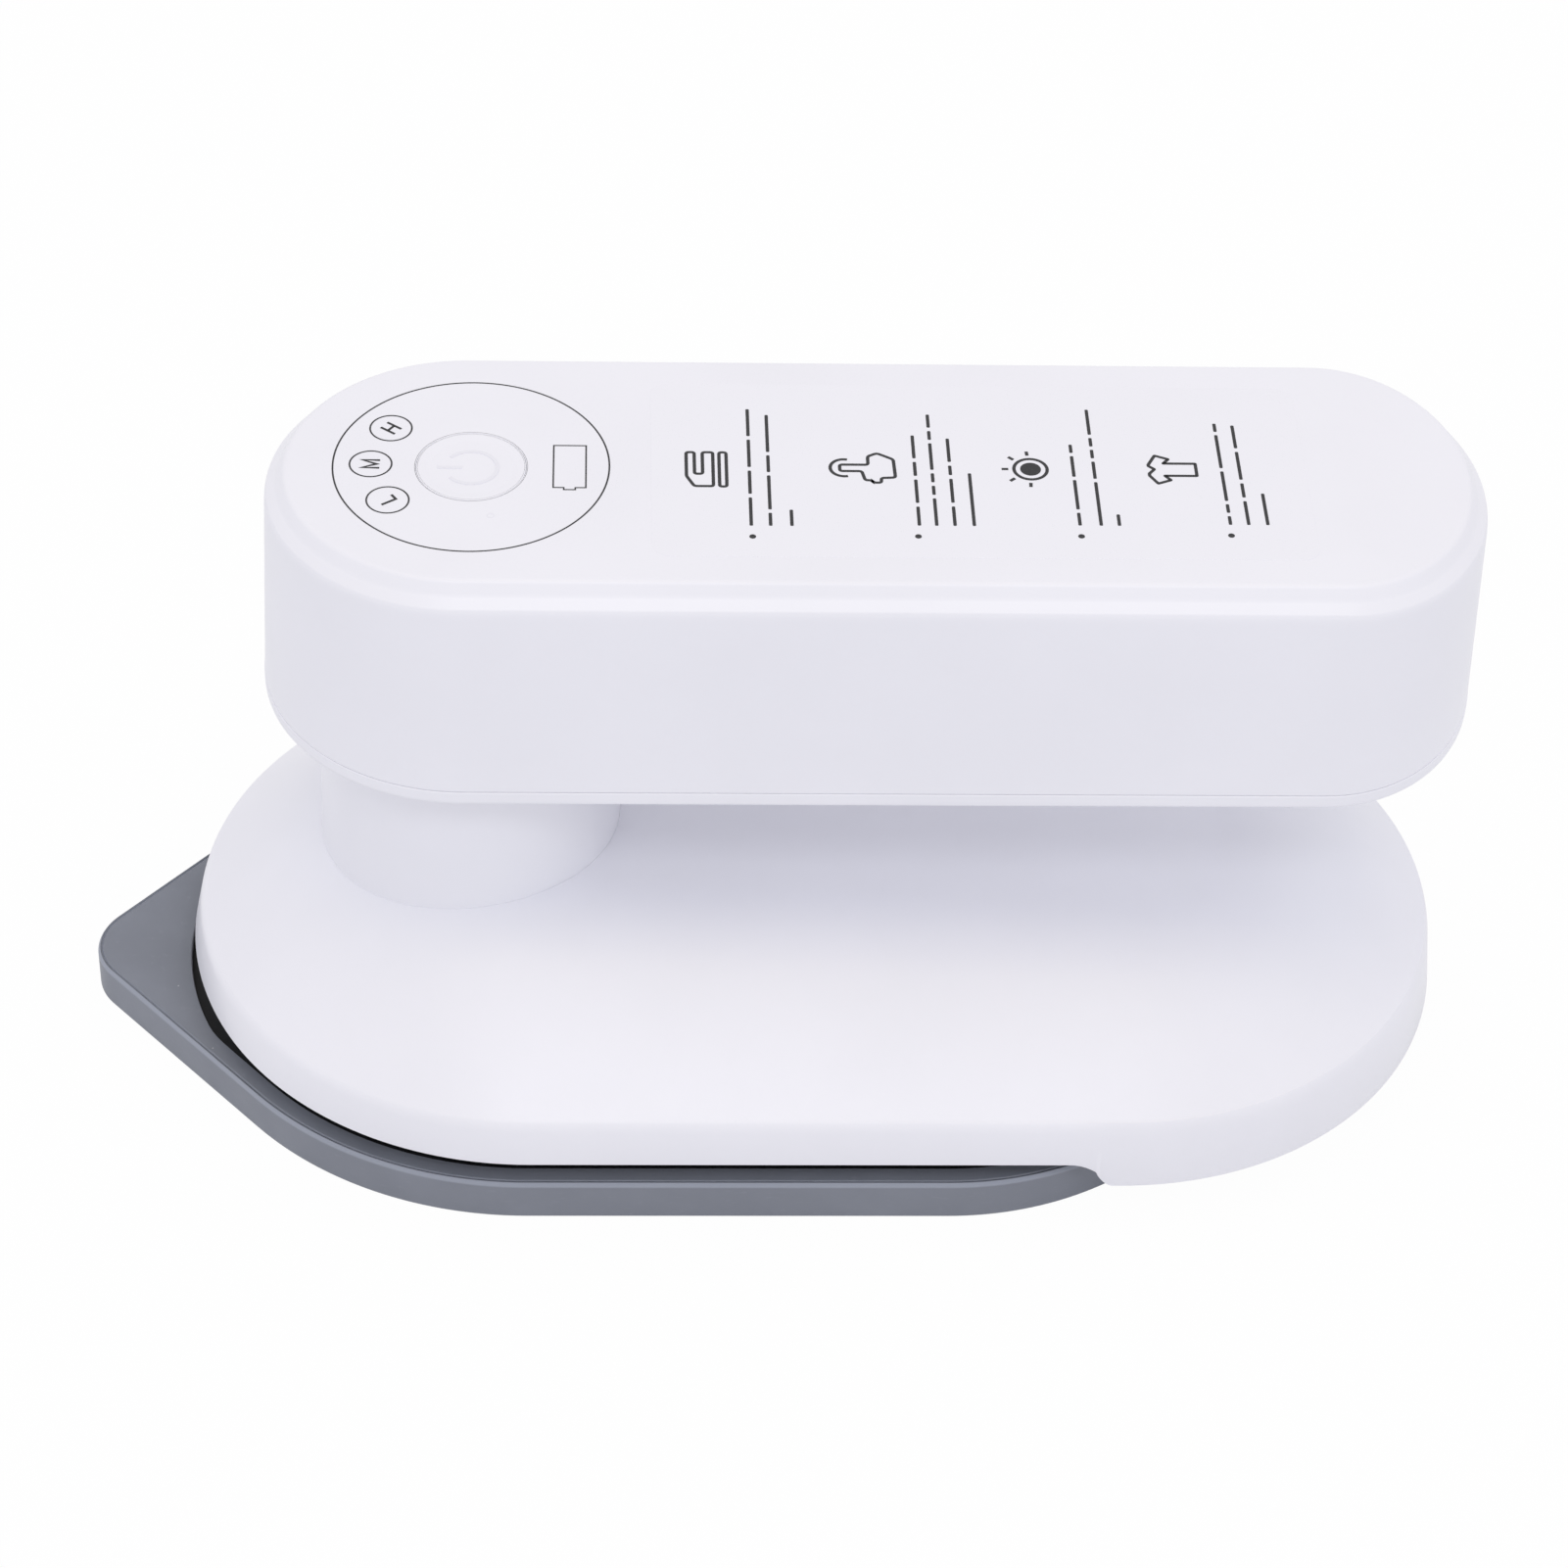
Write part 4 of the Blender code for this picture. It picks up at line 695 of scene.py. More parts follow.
def handle_plan(inset):
    """The handle's plan at each inset: half circle in front, straight sides, half oval behind."""
    handle = sizes("handle")
    inset = np.atleast_1d(inset)
    half = handle.half_width - inset
    rear_x = shell_box.high[0] - handle.draft - handle.rear_depth
    stations = ray_stations(0.0, rear_x, handle.half_width, 44)
    rear = arc_rows(rear_x, handle.rear_depth - inset, half, -math.pi / 2, math.pi / 2, 61)
    front = arc_rows(0.0, half, half, math.pi / 2, 3 * math.pi / 2, 81)
    return closed_plan(rear, stations, front, half)


def base_centres():
    """X of the centres of the base's round ends."""
    base = sizes("base")
    reach = base.half_width + base.flare
    return base_box.low[0] + reach, base_box.high[0] - reach


def base_plan(inset):
    """The base's plan at each inset: half circles at both ends, with close points at the step."""
    base = sizes("base")
    front_x, rear_x = base_centres()
    half = base.half_width - np.atleast_1d(inset)
    step = np.linspace(base.heel_step_x, base.heel_step_x + base.heel_step_length, 41)
    spread = ray_stations(front_x, rear_x, base.half_width, 40)
    clear = 0.0004
    near = np.abs(spread - (step[0] + step[-1]) / 2) < base.heel_step_length / 2 + clear
    stations = np.sort(np.concatenate([spread[~near], step]))[::-1]
    rear = arc_rows(rear_x, half, half, -math.pi / 2, math.pi / 2, 97)
    front = arc_rows(front_x, half, half, math.pi / 2, 3 * math.pi / 2, 97)
    return closed_plan(rear, stations, front, half)


def pad_plan(inset):
    """The pad's plan at each inset: oval heel, straight sides, wide shoulders, pointed nose."""
    pad = sizes("pad")
    inset = np.atleast_1d(inset)
    half = pad_box.high[1] - inset
    nose = pad.nose_radius - inset
    shoulder = pad.shoulder_radius - inset
    nose_x = pad_box.low[0] + pad.nose_radius
    lean = math.pi / 2 + pad.nose_turn
    reach = nose - shoulder - math.cos(pad.nose_turn) * (half - shoulder)
    shoulder_x = nose_x - reach / math.sin(pad.nose_turn)
    t = np.linspace(math.pi / 2, lean, 41)[None, :]
    side_x = shoulder_x[:, None] + shoulder[:, None] * np.cos(t)
    side_y = (half - shoulder)[:, None] + shoulder[:, None] * np.sin(t)
    side = np.stack([side_x, side_y], -1)
    heel = arc_rows(pad_box.high[0] - pad.heel_depth, pad.heel_depth - inset, half, 0.0, math.pi / 2, 61)
    tip = arc_rows(nose_x, nose, nose, lean, math.pi, 25)
    share_along = np.linspace(0.0, 1.0, 22)[None, 1:-1, None]
    flank = side[:, -1:] * (1 - share_along) + tip[:, :1] * share_along
    upper = np.concatenate([heel, side, flank, tip], 1)
    return np.concatenate([upper, upper[:, -2:0:-1] * (1, -1)], 1)


def circle_under(plan, radius, centre=(0.0, 0.0)):
    """The circle's point in the same direction from its centre as each point of a plan, one
    row for each radius."""
    return np.array(centre) + unit(plan - np.array(centre)) * np.reshape(radius, (-1, 1, 1))


def lifted(plan, height):
    """Plan points with one height for all, one for each row, or one for each point."""
    height = np.asarray(height, dtype=float)
    if height.ndim == 1:
        height = height[:, None]
    height = np.broadcast_to(height, plan.shape[:2])
    return np.concatenate([plan, height[..., None]], -1)


def blended(first, second, shares):
    """Rows between two plans, one for each share."""
    shares = np.asarray(shares)[:, None, None]
    return first * (1 - shares) + second * shares


def eased(t):
    """Smooth step from 0 to 1."""
    t = np.clip(t, 0.0, 1.0)
    return t * t * (3 - 2 * t)


def soft_max(first, second, soft):
    """The greater of two values, with the corner between them rounded over a length."""
    return (first + second + np.hypot(first - second, soft)) / 2


def panel_z():
    """Height of the handle's raised panel."""
    return shell_box.high[2] - sizes("handle").top_relief


def film_z():
    """Height of the label film, a little over the panel."""
    return panel_z() + sizes("handle").top_relief * FILM_SHARE


def crown_height(plan):
    """Height of the base's top: a quarter sine over the distance in from the rim, less a slope
    towards the heel that starts softly at the front round end's centre and grows with that
    distance."""
    base = sizes("base")
    front_x, rear_x = base_centres()
    nearest = np.clip(plan[..., 0], front_x, rear_x)
    away = np.hypot(plan[..., 0] - nearest, plan[..., 1])
    depth = np.clip((base.half_width - away) / (base.half_width - base.crown_flat), 0.0, 1.0)
    along = (plan[..., 0] - front_x) / (rear_x - front_x)
    rise = base.crown_rise * np.sin(math.pi / 2 * depth)
    return base.rim_height + rise - base.crown_fall * depth * soft_max(along, 0.0, 0.1)


def skirt_height(plan):
    """Height of the skirt's lower edge. Behind the pad it drops by the square of the way along
    the step, then a short steep part leads into a second square curve that runs out level."""
    base = sizes("base")
    t = np.clip((plan[..., 0] - base.heel_step_x) / base.heel_step_length, 0.0, 1.0)
    steep_start, steep_length, tail = 0.58, 0.04, 3.6
    steep = eased((t - steep_start) / steep_length)
    left = (1 - t**2) * (1 - steep) + tail * (1 - t) ** 2 * steep
    return base_box.low[2] + (base.skirt_height - base_box.low[2]) * left


def turned_grid(profile, count, centre=(0.0, 0.0)):
    """A profile of (radius, height) points turned about a vertical line."""
    t = np.linspace(0.0, 2 * math.pi, count, endpoint=False)[None, :]
    radius = profile[:, :1]
    height = np.broadcast_to(profile[:, 1:], (len(profile), count))
    return np.stack([centre[0] + radius * np.cos(t), centre[1] + radius * np.sin(t), height], -1)


def box_path(half_width, half_height, corner, count=12):
    """A closed rectangle with round corners, as (across, up) points."""
    quarter = np.linspace(0.0, math.pi / 2, count)
    turns = (quarter[None, :] + np.arange(4)[:, None] * math.pi / 2).ravel()
    centres = np.repeat([(1, 1), (-1, 1), (-1, -1), (1, -1)], count, 0)
    centres = centres * (half_width - corner, half_height - corner)
    return centres + corner * np.stack([np.cos(turns), np.sin(turns)], -1)


def ribbon(pile, path, width, low, high, closed=False):
    """A flat printed line along a path: two edges half a width to either side, mitred at the
    corners, with a top and a bottom."""
    path = np.array(path, dtype=float)
    ahead = np.roll(path, -1, 0) - path
    back = path - np.roll(path, 1, 0)
    if not closed:
        ahead[-1] = back[-1]
        back[0] = ahead[0]
    ahead, back = unit(ahead), unit(back)
    along = unit(ahead + back)
    least = 0.4
    reach = width / 2 / np.maximum(np.sum(along * ahead, -1, keepdims=True), least)
    across = np.stack([-along[:, 1], along[:, 0]], -1) * reach
    left, right = path + across, path - across
    edges = ((left, low), (left, high), (right, high), (right, low))
    edges = [np.insert(edge, 2, z, 1) for edge, z in edges]
    pile.add(np.stack(edges, 1), wrap_rows=closed, caps=not closed)


def ring_path(centre, radius, count):
    """A closed circle."""
    t = np.linspace(0.0, 2 * math.pi, count, endpoint=False)
    return np.array(centre) + radius * np.stack([np.cos(t), np.sin(t)], -1)


def slab(pile, outline, low, high):
    """A flat shape: its outline at two heights, closed below and above."""
    pile.add(np.stack([np.insert(outline, 2, z, 1) for z in (low, high)]), caps=True)


def dot(pile, centre, radius, low, high, count):
    """A flat disc."""
    slab(pile, ring_path(centre, radius, count), low, high)


def cut_out(piece, cutter):
    """Cut one closed mesh out of a piece, and keep the result as the piece's own mesh."""
    step = piece.modifiers.new("cut", "BOOLEAN")
    step.operation = "DIFFERENCE"
    step.solver = "EXACT"
    step.object = cutter
    graph = bpy.context.evaluated_depsgraph_get()
    whole = bpy.data.meshes.new_from_object(piece.evaluated_get(graph))
    piece.modifiers.clear()
    piece.data = whole
    whole.set_sharp_from_angle(angle=math.radians(SHARP))
    bpy.data.objects.remove(cutter, do_unlink=True)


class IronOperator(bpy.types.Operator):
    """Shared settings of the operators that make the pieces."""

    bl_options = {"REGISTER", "UNDO"}

    def execute(self, context):
        """Make the piece and say that it is done."""
        self.make()
        return {"FINISHED"}


class IRON_OT_heat_pad(IronOperator):
    """Make the silicone heat pad with its lip, bead and hood"""

    bl_idname = "iron.heat_pad"
    bl_label = "Heat pad"

    def make(self):
        """Rows run from the floor's underside up the wall, over the bead and the lip to the
        mouth, and down inside. The mouth is the plan inset by the lip's width, with its X held
        behind the hood's bowed edge by a soft maximum."""
        pad = sizes("pad")
        top = pad_box.high[2]
        lip_low = top - pad.lip_thickness
        bead = pad.bead_width
        groove_middle, groove_end = bead + 0.00008, bead + 0.00020
        slope_round, groove_round, lip_round = 0.00004, 0.00005, (0.00006, 0.00012)
        outer = soft_path(
            [
                (CAP_INSET, 0.0),
                (0.0, 0.0),
                (0.0, top - bead),
                (bead * 0.6, top),
                (bead, top),
                (groove_middle, top - pad.groove),
                (groove_end, top),
                (pad.lip_width, top),
            ],
            [
                (pad.edge_round, pad.edge_round),
                (bead * 0.6, bead * 0.3),
                (bead * 0.3, bead * 0.15),
                (slope_round, slope_round),
                (groove_round, groove_round),
                lip_round,
            ],
            steps=8,
        )[:-1]
        mouth = pad_plan(pad.lip_width)[0]
        mouth[:, 0] = soft_max(mouth[:, 0], pad.hood_x + pad.hood_bow * mouth[:, 1] ** 2, pad.hood_soft)
        wall = pad_plan(outer[:, 0])
        lip = blended(wall[-1], mouth, [0.2, 0.4, 0.6, 0.8, 0.93, 0.985])
        rim = blended(wall[-1], mouth, [0.994, 1.0, 1.0, 0.994])
        mouth_round, edge_drop, edge_rise = 0.0002, 0.00006, 0.00004
        rim_z = [top - edge_drop, top - mouth_round, lip_low + mouth_round, lip_low + edge_rise]
        corner, floor_round = 0.0001, 0.0004
        inside = pad_plan([pad.wall + corner, pad.wall, pad.wall, pad.wall + floor_round])
        under = blended(mouth, inside[0], [0.02, 0.2, 0.6, 1.0])
        inside_z = [lip_low - corner, pad.floor + floor_round, pad.floor]
        rows = [
            lifted(wall, outer[:, 1]),
            lifted(lip, top),
            lifted(rim, rim_z),
            lifted(under, lip_low),
            lifted(inside[1:], inside_z),
        ]
        pile = Pile()
        pile.add(np.concatenate(rows), caps=True)
        pile.piece("silicone_heat_pad", "pad", "grey_silicone", ["heat_pad"])


class IRON_OT_soleplate(IronOperator):
    """Make the coated soleplate with its screw posts"""

    bl_idname = "iron.soleplate"
    bl_label = "Soleplate"

    def make(self):
        """A rounded edge swept round the pad's plan, just inside its wall, and four posts."""
        pad = sizes("pad")
        clearance, sunk = 0.0003, 0.0002
        gap = pad.wall + clearance
        low = sole_box.low[2]
        top = low + pad.plate_thickness
        edge = soft_path(
            [(CAP_INSET, low), (0.0, low), (0.0, top), (CAP_INSET, top)],
            [pad.plate_round, pad.plate_round / 2],
        )
        pile = Pile()
        pile.add(lifted(pad_plan(edge[:, 0] + gap), edge[:, 1]), caps=True)
        radius, bore, edge_round = 0.0025, 0.0013, 0.0003
        foot, head = top - sunk, sole_box.high[2]
        post = soft_path([(radius, foot), (radius, head), (bore, head)], [edge_round])
        post = np.concatenate([post, [(bore, foot)]])
        for end in ("front", "rear"):
            for side in SIDES:
                pile.add(turned_grid(post, 40, Box(f"sole_screw_{side}_{end}").middle), wrap_rows=True)
        pile.piece("coated_soleplate", "base", "cast_aluminium", ["soleplate"])


class IRON_OT_base_shell(IronOperator):
    """Make the white base shell with its soft rim, pillow-shaped top and heel"""

    bl_idname = "iron.base_shell"
    bl_label = "Base shell"

    def make(self):
        """Rows climb the skirt, round the rim, cross the crown on lines to the matching points
        of the column's hole, go down the hole, and come back under the wall."""
        base = sizes("base")
        start = base.rim_soft
        rim = base.rim_height
        wall_top = rim - 0.0001
        slope = base.crown_rise / (base.half_width - base.crown_flat) * math.pi / 2
        front_point, steps = 200, 10
        top_z = crown_height(base_plan(start))[0, front_point]
        skirt_round, rim_round, tight = 0.0009, 0.0006, 0.00001
        path = soft_path(
            [
                (-base.flare, base.skirt_height),
                (0.0, wall_top),
                (start, top_z),
                (start * 2, top_z + slope * start),
            ],
            [(skirt_round, rim_round), (tight, tight)],
            steps=steps,
        )[: steps + 3]
        shares = (path[:, 1] - path[0, 1]) / (path[-1, 1] - path[0, 1])
        plan = base_plan(path[:, 0])
        foot = skirt_height(plan)
        skirt = lifted(plan, foot + (path[-1, 1] - foot) * shares[:, None])
        hole = base.column_foot + base.collar_gap
        lip = base.collar_lip
        ring = base_plan(start)[0]
        lines = np.linspace(0.0, 1.0, 91)[1:] ** 1.25
        crown = blended(ring, circle_under(ring, hole + lip), lines)
        crown = lifted(crown, crown_height(crown))
        edge = soft_path([(lip, 0.0), (0.0, 0.0), (0.0, -base.wall)], [lip * 0.1], steps=4)[1:]
        bore = circle_under(ring, hole + edge[:, 0])
        bore = lifted(bore, crown_height(bore[:1]) + edge[:, 1:])
        inner_ring = base_plan(base.wall * 1.15)[0]
        roof = blended(inner_ring, circle_under(inner_ring, hole + lip), lines[::-6])
        roof = lifted(roof, crown_height(roof) - base.wall * 1.25)
        inner = base_plan([base.wall, base.wall - base.flare])
        inner_top = np.full(inner.shape[1], rim - base.wall)
        inner = lifted(inner, np.stack([inner_top, skirt_height(inner[1])]))
        toe_round, toe_inset, toe_rise = 0.0002, 0.00003, 0.00006
        toe = base_plan([toe_round - base.flare, toe_inset - base.flare])
        toe = lifted(toe, skirt_height(toe) + np.array([[0.0], [toe_rise]]))
        skirt[0, :, 2] += toe_round
        pile = Pile()
        pile.add(np.concatenate([toe, skirt, crown, bore, roof, inner]), wrap_rows=True)
        pile.piece("moulded_base_shell", "base", "white_plastic", ["base_shell"])


class IRON_OT_column(IronOperator):
    """Make the round column between base and handle"""

    bl_idname = "iron.column"
    bl_label = "Column"

    def make(self):
        """A closed profile turned about the swivel axis: plate, tapered wall, flange, bore."""
        base = sizes("base")
        low, top = column_box.low[2], column_box.high[2]
        flange, head = -column_box.low[0], base.column_top
        bore = head - base.column_wall
        cable_hole, plate_low = 0.0019, top - 0.0024
        wall_foot, flange_top = low + 0.0016, low + 0.0015
        rounds = [0.0001, 0.0004, 0.0003, 0.0002, 0.0002, 0.0002, 0.0006, 0.0001]
        profile = soft_path(
            [
                (cable_hole, top),
                (head, top),
                (base.column_foot, wall_foot),
                (flange, flange_top),
                (flange, low),
                (bore, low),
                (bore, plate_low),
                (cable_hole, plate_low),
            ],
            rounds,
            closed=True,
        )
        pile = Pile()
        pile.add(turned_grid(profile, 224), wrap_rows=True)
        pile.piece("swivel_column", "handle", "white_plastic", ["column"])


class IRON_OT_handle_shell(IronOperator):
    """Make the handle's upper shell with its ledge and raised panel"""

    bl_idname = "iron.handle_shell"
    bl_label = "Handle shell"

    def make(self):
        """Rows climb the drafted wall, round the shoulder, dip at the ledge, round the panel's
        edge, cross the panel on lines to the button's hole, and come back inside the wall."""
        handle = sizes("handle")
        top, low = panel_z(), shell_box.low[2]
        wall_top = top - handle.shoulder_drop
        inner = handle.wall - handle.draft
        panel_row = 0.0045
        shoulder_round, bevel_round, ledge_round = (0.0009, 0.0003), (0.00016, 0.00012), (0.00022, 0.00035)
        profile = soft_path(
            [
                (inner, low),
                (handle.parting_step - handle.draft, low),
                (0.0, wall_top),
                (handle.bevel_inset, top - handle.bevel_drop),
                (handle.ledge_inset, top - handle.ledge_drop),
                (handle.panel_inset, top),
                (panel_row, top),
            ],
            [
                (handle.edge_round, handle.edge_round),
                shoulder_round,
                bevel_round,
                ledge_round,
                (handle.panel_round, handle.panel_round),
            ],
            steps=14,
        )
        outside = lifted(handle_plan(profile[:, 0]), profile[:, 1])
        ring = handle_plan(profile[-1, 0])[0]
        centre = (button_x, 0.0)
        hole, lip = handle.button_radius + handle.button_gap, 0.00010
        panel = blended(ring, circle_under(ring, hole + lip, centre), np.linspace(0.0, 1.0, 12)[1:])
        edge = soft_path([(lip, top), (0.0, top), (0.0, top - handle.wall)], [lip * 0.9], steps=6)[1:]
        bore = circle_under(ring, hole + edge[:, 0], centre)
        roof_inset, wall_inset, foot_rise = handle.wall + 0.0016, handle.wall + 0.0002, 0.0001
        roof = blended(circle_under(ring, hole, centre), handle_plan(roof_inset)[0], [0.3, 1.0])
        back = lifted(handle_plan([wall_inset, inner]), [wall_top - handle.wall, low + foot_rise])
        rows = [
            outside,
            lifted(panel, top),
            lifted(bore, edge[:, 1]),
            lifted(roof, top - handle.wall),
            back,
        ]
        pile = Pile()
        pile.add(np.concatenate(rows), wrap_rows=True)
        shell = pile.piece("handle_upper_shell", "handle", "white_plastic", ["handle_shell"])
        self.open_rear(shell)

    def open_rear(self, shell):
        """Cut the opening for the charging socket, with a gap round it, out of the rear end."""
        gap, overrun = 0.00018, 0.002
        half, middle = socket_box.half, socket_box.middle
        opening = box_path(half[1] + gap, half[2] + gap, half[2] * 0.8) + (0.0, middle[2])
        ends = (middle[0], shell_box.high[0] + overrun)
        cutter = Pile()
        cutter.add(np.stack([np.insert(opening, 0, x, 1) for x in ends]), caps=True)
        cut_out(shell, cutter.placed("socket_opening"))


class IRON_OT_handle_cover(IronOperator):
    """Make the handle's lower cover with its screw recesses"""

    bl_idname = "iron.handle_cover"
    bl_label = "Handle cover"

    def make(self):
        """A thin plate with a rounded lower edge, cut by a stepped hole for each screw."""
        handle = sizes("handle")
        low, top = cover_box.low[2], shell_box.low[2] - handle.parting_gap
        profile = soft_path(
            [(CAP_INSET, low), (-handle.draft, low), (-handle.draft, top), (CAP_INSET, top)],
            [(handle.cover_round * 1.3, handle.cover_round), (handle.edge_round, handle.edge_round)],
            steps=12,
        )
        pile = Pile()
        pile.add(lifted(handle_plan(profile[:, 0]), profile[:, 1]), caps=True)
        cover = pile.piece("handle_lower_cover", "handle", "white_plastic", ["handle_cover"])
        mouth, seat, tight, soft = 0.0024, 0.0021, 0.00001, 0.0001
        below, seat_z = low - 0.001, low + 0.0014
        steps = soft_path(
            [(0.0, below), (mouth, below), (mouth, low + soft), (seat, seat_z), (0.0, seat_z)],
            [tight, soft, soft],
            steps=4,
        )
        for side in SIDES:
            recess = Pile()
            recess.add(turned_grid(steps[1:-1], 56, Box("handle_screw_" + side).middle), caps=True)
            cut_out(cover, recess.placed("screw_recess"))


class IRON_OT_panel_film(IronOperator):
    """Make the clear label film on the panel"""

    bl_idname = "iron.panel_film"
    bl_label = "Label film"

    def make(self):
        """A thin rectangle with round corners, a hair's breadth proud of the panel."""
        corner, sunk, edge = 0.0020, 0.00005, 0.000008
        width, depth = film_box.half[:2]
        insets = (0.0, 0.0, edge)
        heights = (panel_z() - sunk, film_z() - edge, film_z())
        paths = [box_path(width - inset, depth - inset, corner - inset) for inset in insets]
        pile = Pile()
        pile.add(lifted(np.stack(paths) + film_box.middle[:2], heights), caps=True)
        pile.piece("label_film", "handle", "clear_film", ["panel_film"])


class IRON_OT_power_button(IronOperator):
    """Make the power button with its raised sign"""

    bl_idname = "iron.power_button"
    bl_label = "Power button"

    def make(self):
        """A turned button with a shallow dish, and a raised open ring with a bar."""
        handle = sizes("handle")
        top, low = panel_z(), button_box.low[2]
        radius, flange = handle.button_radius, button_box.half[0]
        flange_top, hole = low + 0.0009, 0.0004
        dish_z, brow_z = top - 0.00016, top - 0.00002
        rounds = [0.0004, 0.00012, 0.0002, 0.0001, 0.0001]
        rim = soft_path(
            [
                (radius * 0.78, dish_z),
                (radius * 0.90, brow_z),
                (radius, top),
                (radius, flange_top),
                (flange, flange_top),
                (flange, low),
                (hole, low),
            ],
            rounds,
        )
        dish = np.linspace(0.0, radius * 0.76, 14)
        dish = np.stack([dish, np.full(14, dish_z)], -1)[1:]
        pile = Pile()
        pile.add(turned_grid(np.concatenate([dish, rim]), 192, (button_x, 0.0)), caps=True)
        pile.piece("round_power_button", "button", "white_plastic", ["power_button"])
        radius, width, half_turn = handle.emblem_radius, 0.00042, math.radians(142)
        sign_low, sign_high = top - 0.00018, top - 0.00010
        open_ring = arc_rows(button_x, radius, radius, -half_turn, half_turn, 61)[0]
        bar = [(button_x - radius * 0.35, 0.0), (button_x - radius * 1.3, 0.0)]
        sign = Pile()
        for path in (open_ring, bar):
            ribbon(sign, path, width, sign_low, sign_high)
        sign.piece("raised_power_sign", "button", "raised_sign", slot="white_plastic")


# The level letters: the place of each in metres, and its lines as shares of a letter's height.
LEVELS = (
    ((-0.0079, 0.0065), [[(-0.35, -0.5), (-0.35, 0.5)], [(0.35, -0.5), (0.35, 0.5)], [(-0.3, 0), (0.3, 0)]]),
    ((-0.0098, 0.0003), [[(-0.42, -0.5), (-0.42, 0.46), (0, -0.34), (0.42, 0.46), (0.42, -0.5)]]),
    ((-0.0078, -0.0058), [[(-0.22, 0.5), (-0.22, -0.42), (0.34, -0.42)]]),
)

# Outlines of the marks in millimetres: the battery, the iron's two parts, the hand and the shirt.
BATTERY = [
    (9.3, 3.7), (9.3, -3.5), (10.4, -3.5), (10.4, -3.85),
    (11.6, -3.85), (11.6, -3.5), (12.7, -3.5), (12.7, 3.7),
]
SOLE_SIGN = [(26.65, -3.15), (27.4, -3.15), (27.4, 2.7), (26.65, 2.7)]
IRON_SIGN = [
    (23.2, 2.7), (23.2, -1.4), (24.0, -3.1), (26.0, -3.1), (26.0, 2.7),
    (24.9, 2.7), (24.9, -1.0), (24.05, -1.0), (24.05, 2.7),
]
HAND_SIGN = [
    (39.3, 0.75), (42.3, 0.75), (42.3, 2.2), (43.3, 2.75), (45.0, 1.7), (45.1, -1.4), (43.6, -1.5),
    (43.6, -2.3), (42.75, -2.3), (42.6, -1.9), (41.9, -1.9), (41.6, -0.35), (39.3, -0.35),
]
SHIRT_SIGN = [
    (71.9, 1.1), (71.9, 0.9), (72.5, 0.35), (71.9, -0.4), (71.9, -0.75), (72.7, -2.1), (74.1, -1.5),
    (73.5, -0.75), (76.9, -0.75), (76.9, 1.35), (73.5, 1.35), (74.1, 2.1), (72.7, 2.7),
]

# The columns of bars: a bullet's X and Y, then for each row its X, the Y of its end and the
# number of letters in each word. Places are in millimetres.
COLUMNS = (
    ((29.9, -11.5), [(29.8, 10.3, (6, 5, 6, 6)), (31.8, 9.3, (3, 8, 4, 9)), (34.0, -7.0, (3,))]),
    (
        (47.0, -11.3),
        [
            (47.2, 5.9, (4, 5, 3, 5)),
            (49.0, 9.6, (6, 2, 2, 6, 2, 3)),
            (50.9, 5.4, (4, 5, 2, 5)),
            (52.9, -0.6, (11,)),
        ],
    ),
    ((63.9, -11.1), [(63.9, 4.5, (3, 7, 5, 2)), (66.1, 10.7, (10, 4, 2, 2, 6)), (68.0, -7.4, (2,))]),
    ((79.5, -10.8), [(79.6, 8.4, (2, 2, 7, 8, 2)), (81.5, 8.1, (5, 3, 6, 5)), (83.5, -3.7, (7,))]),
)


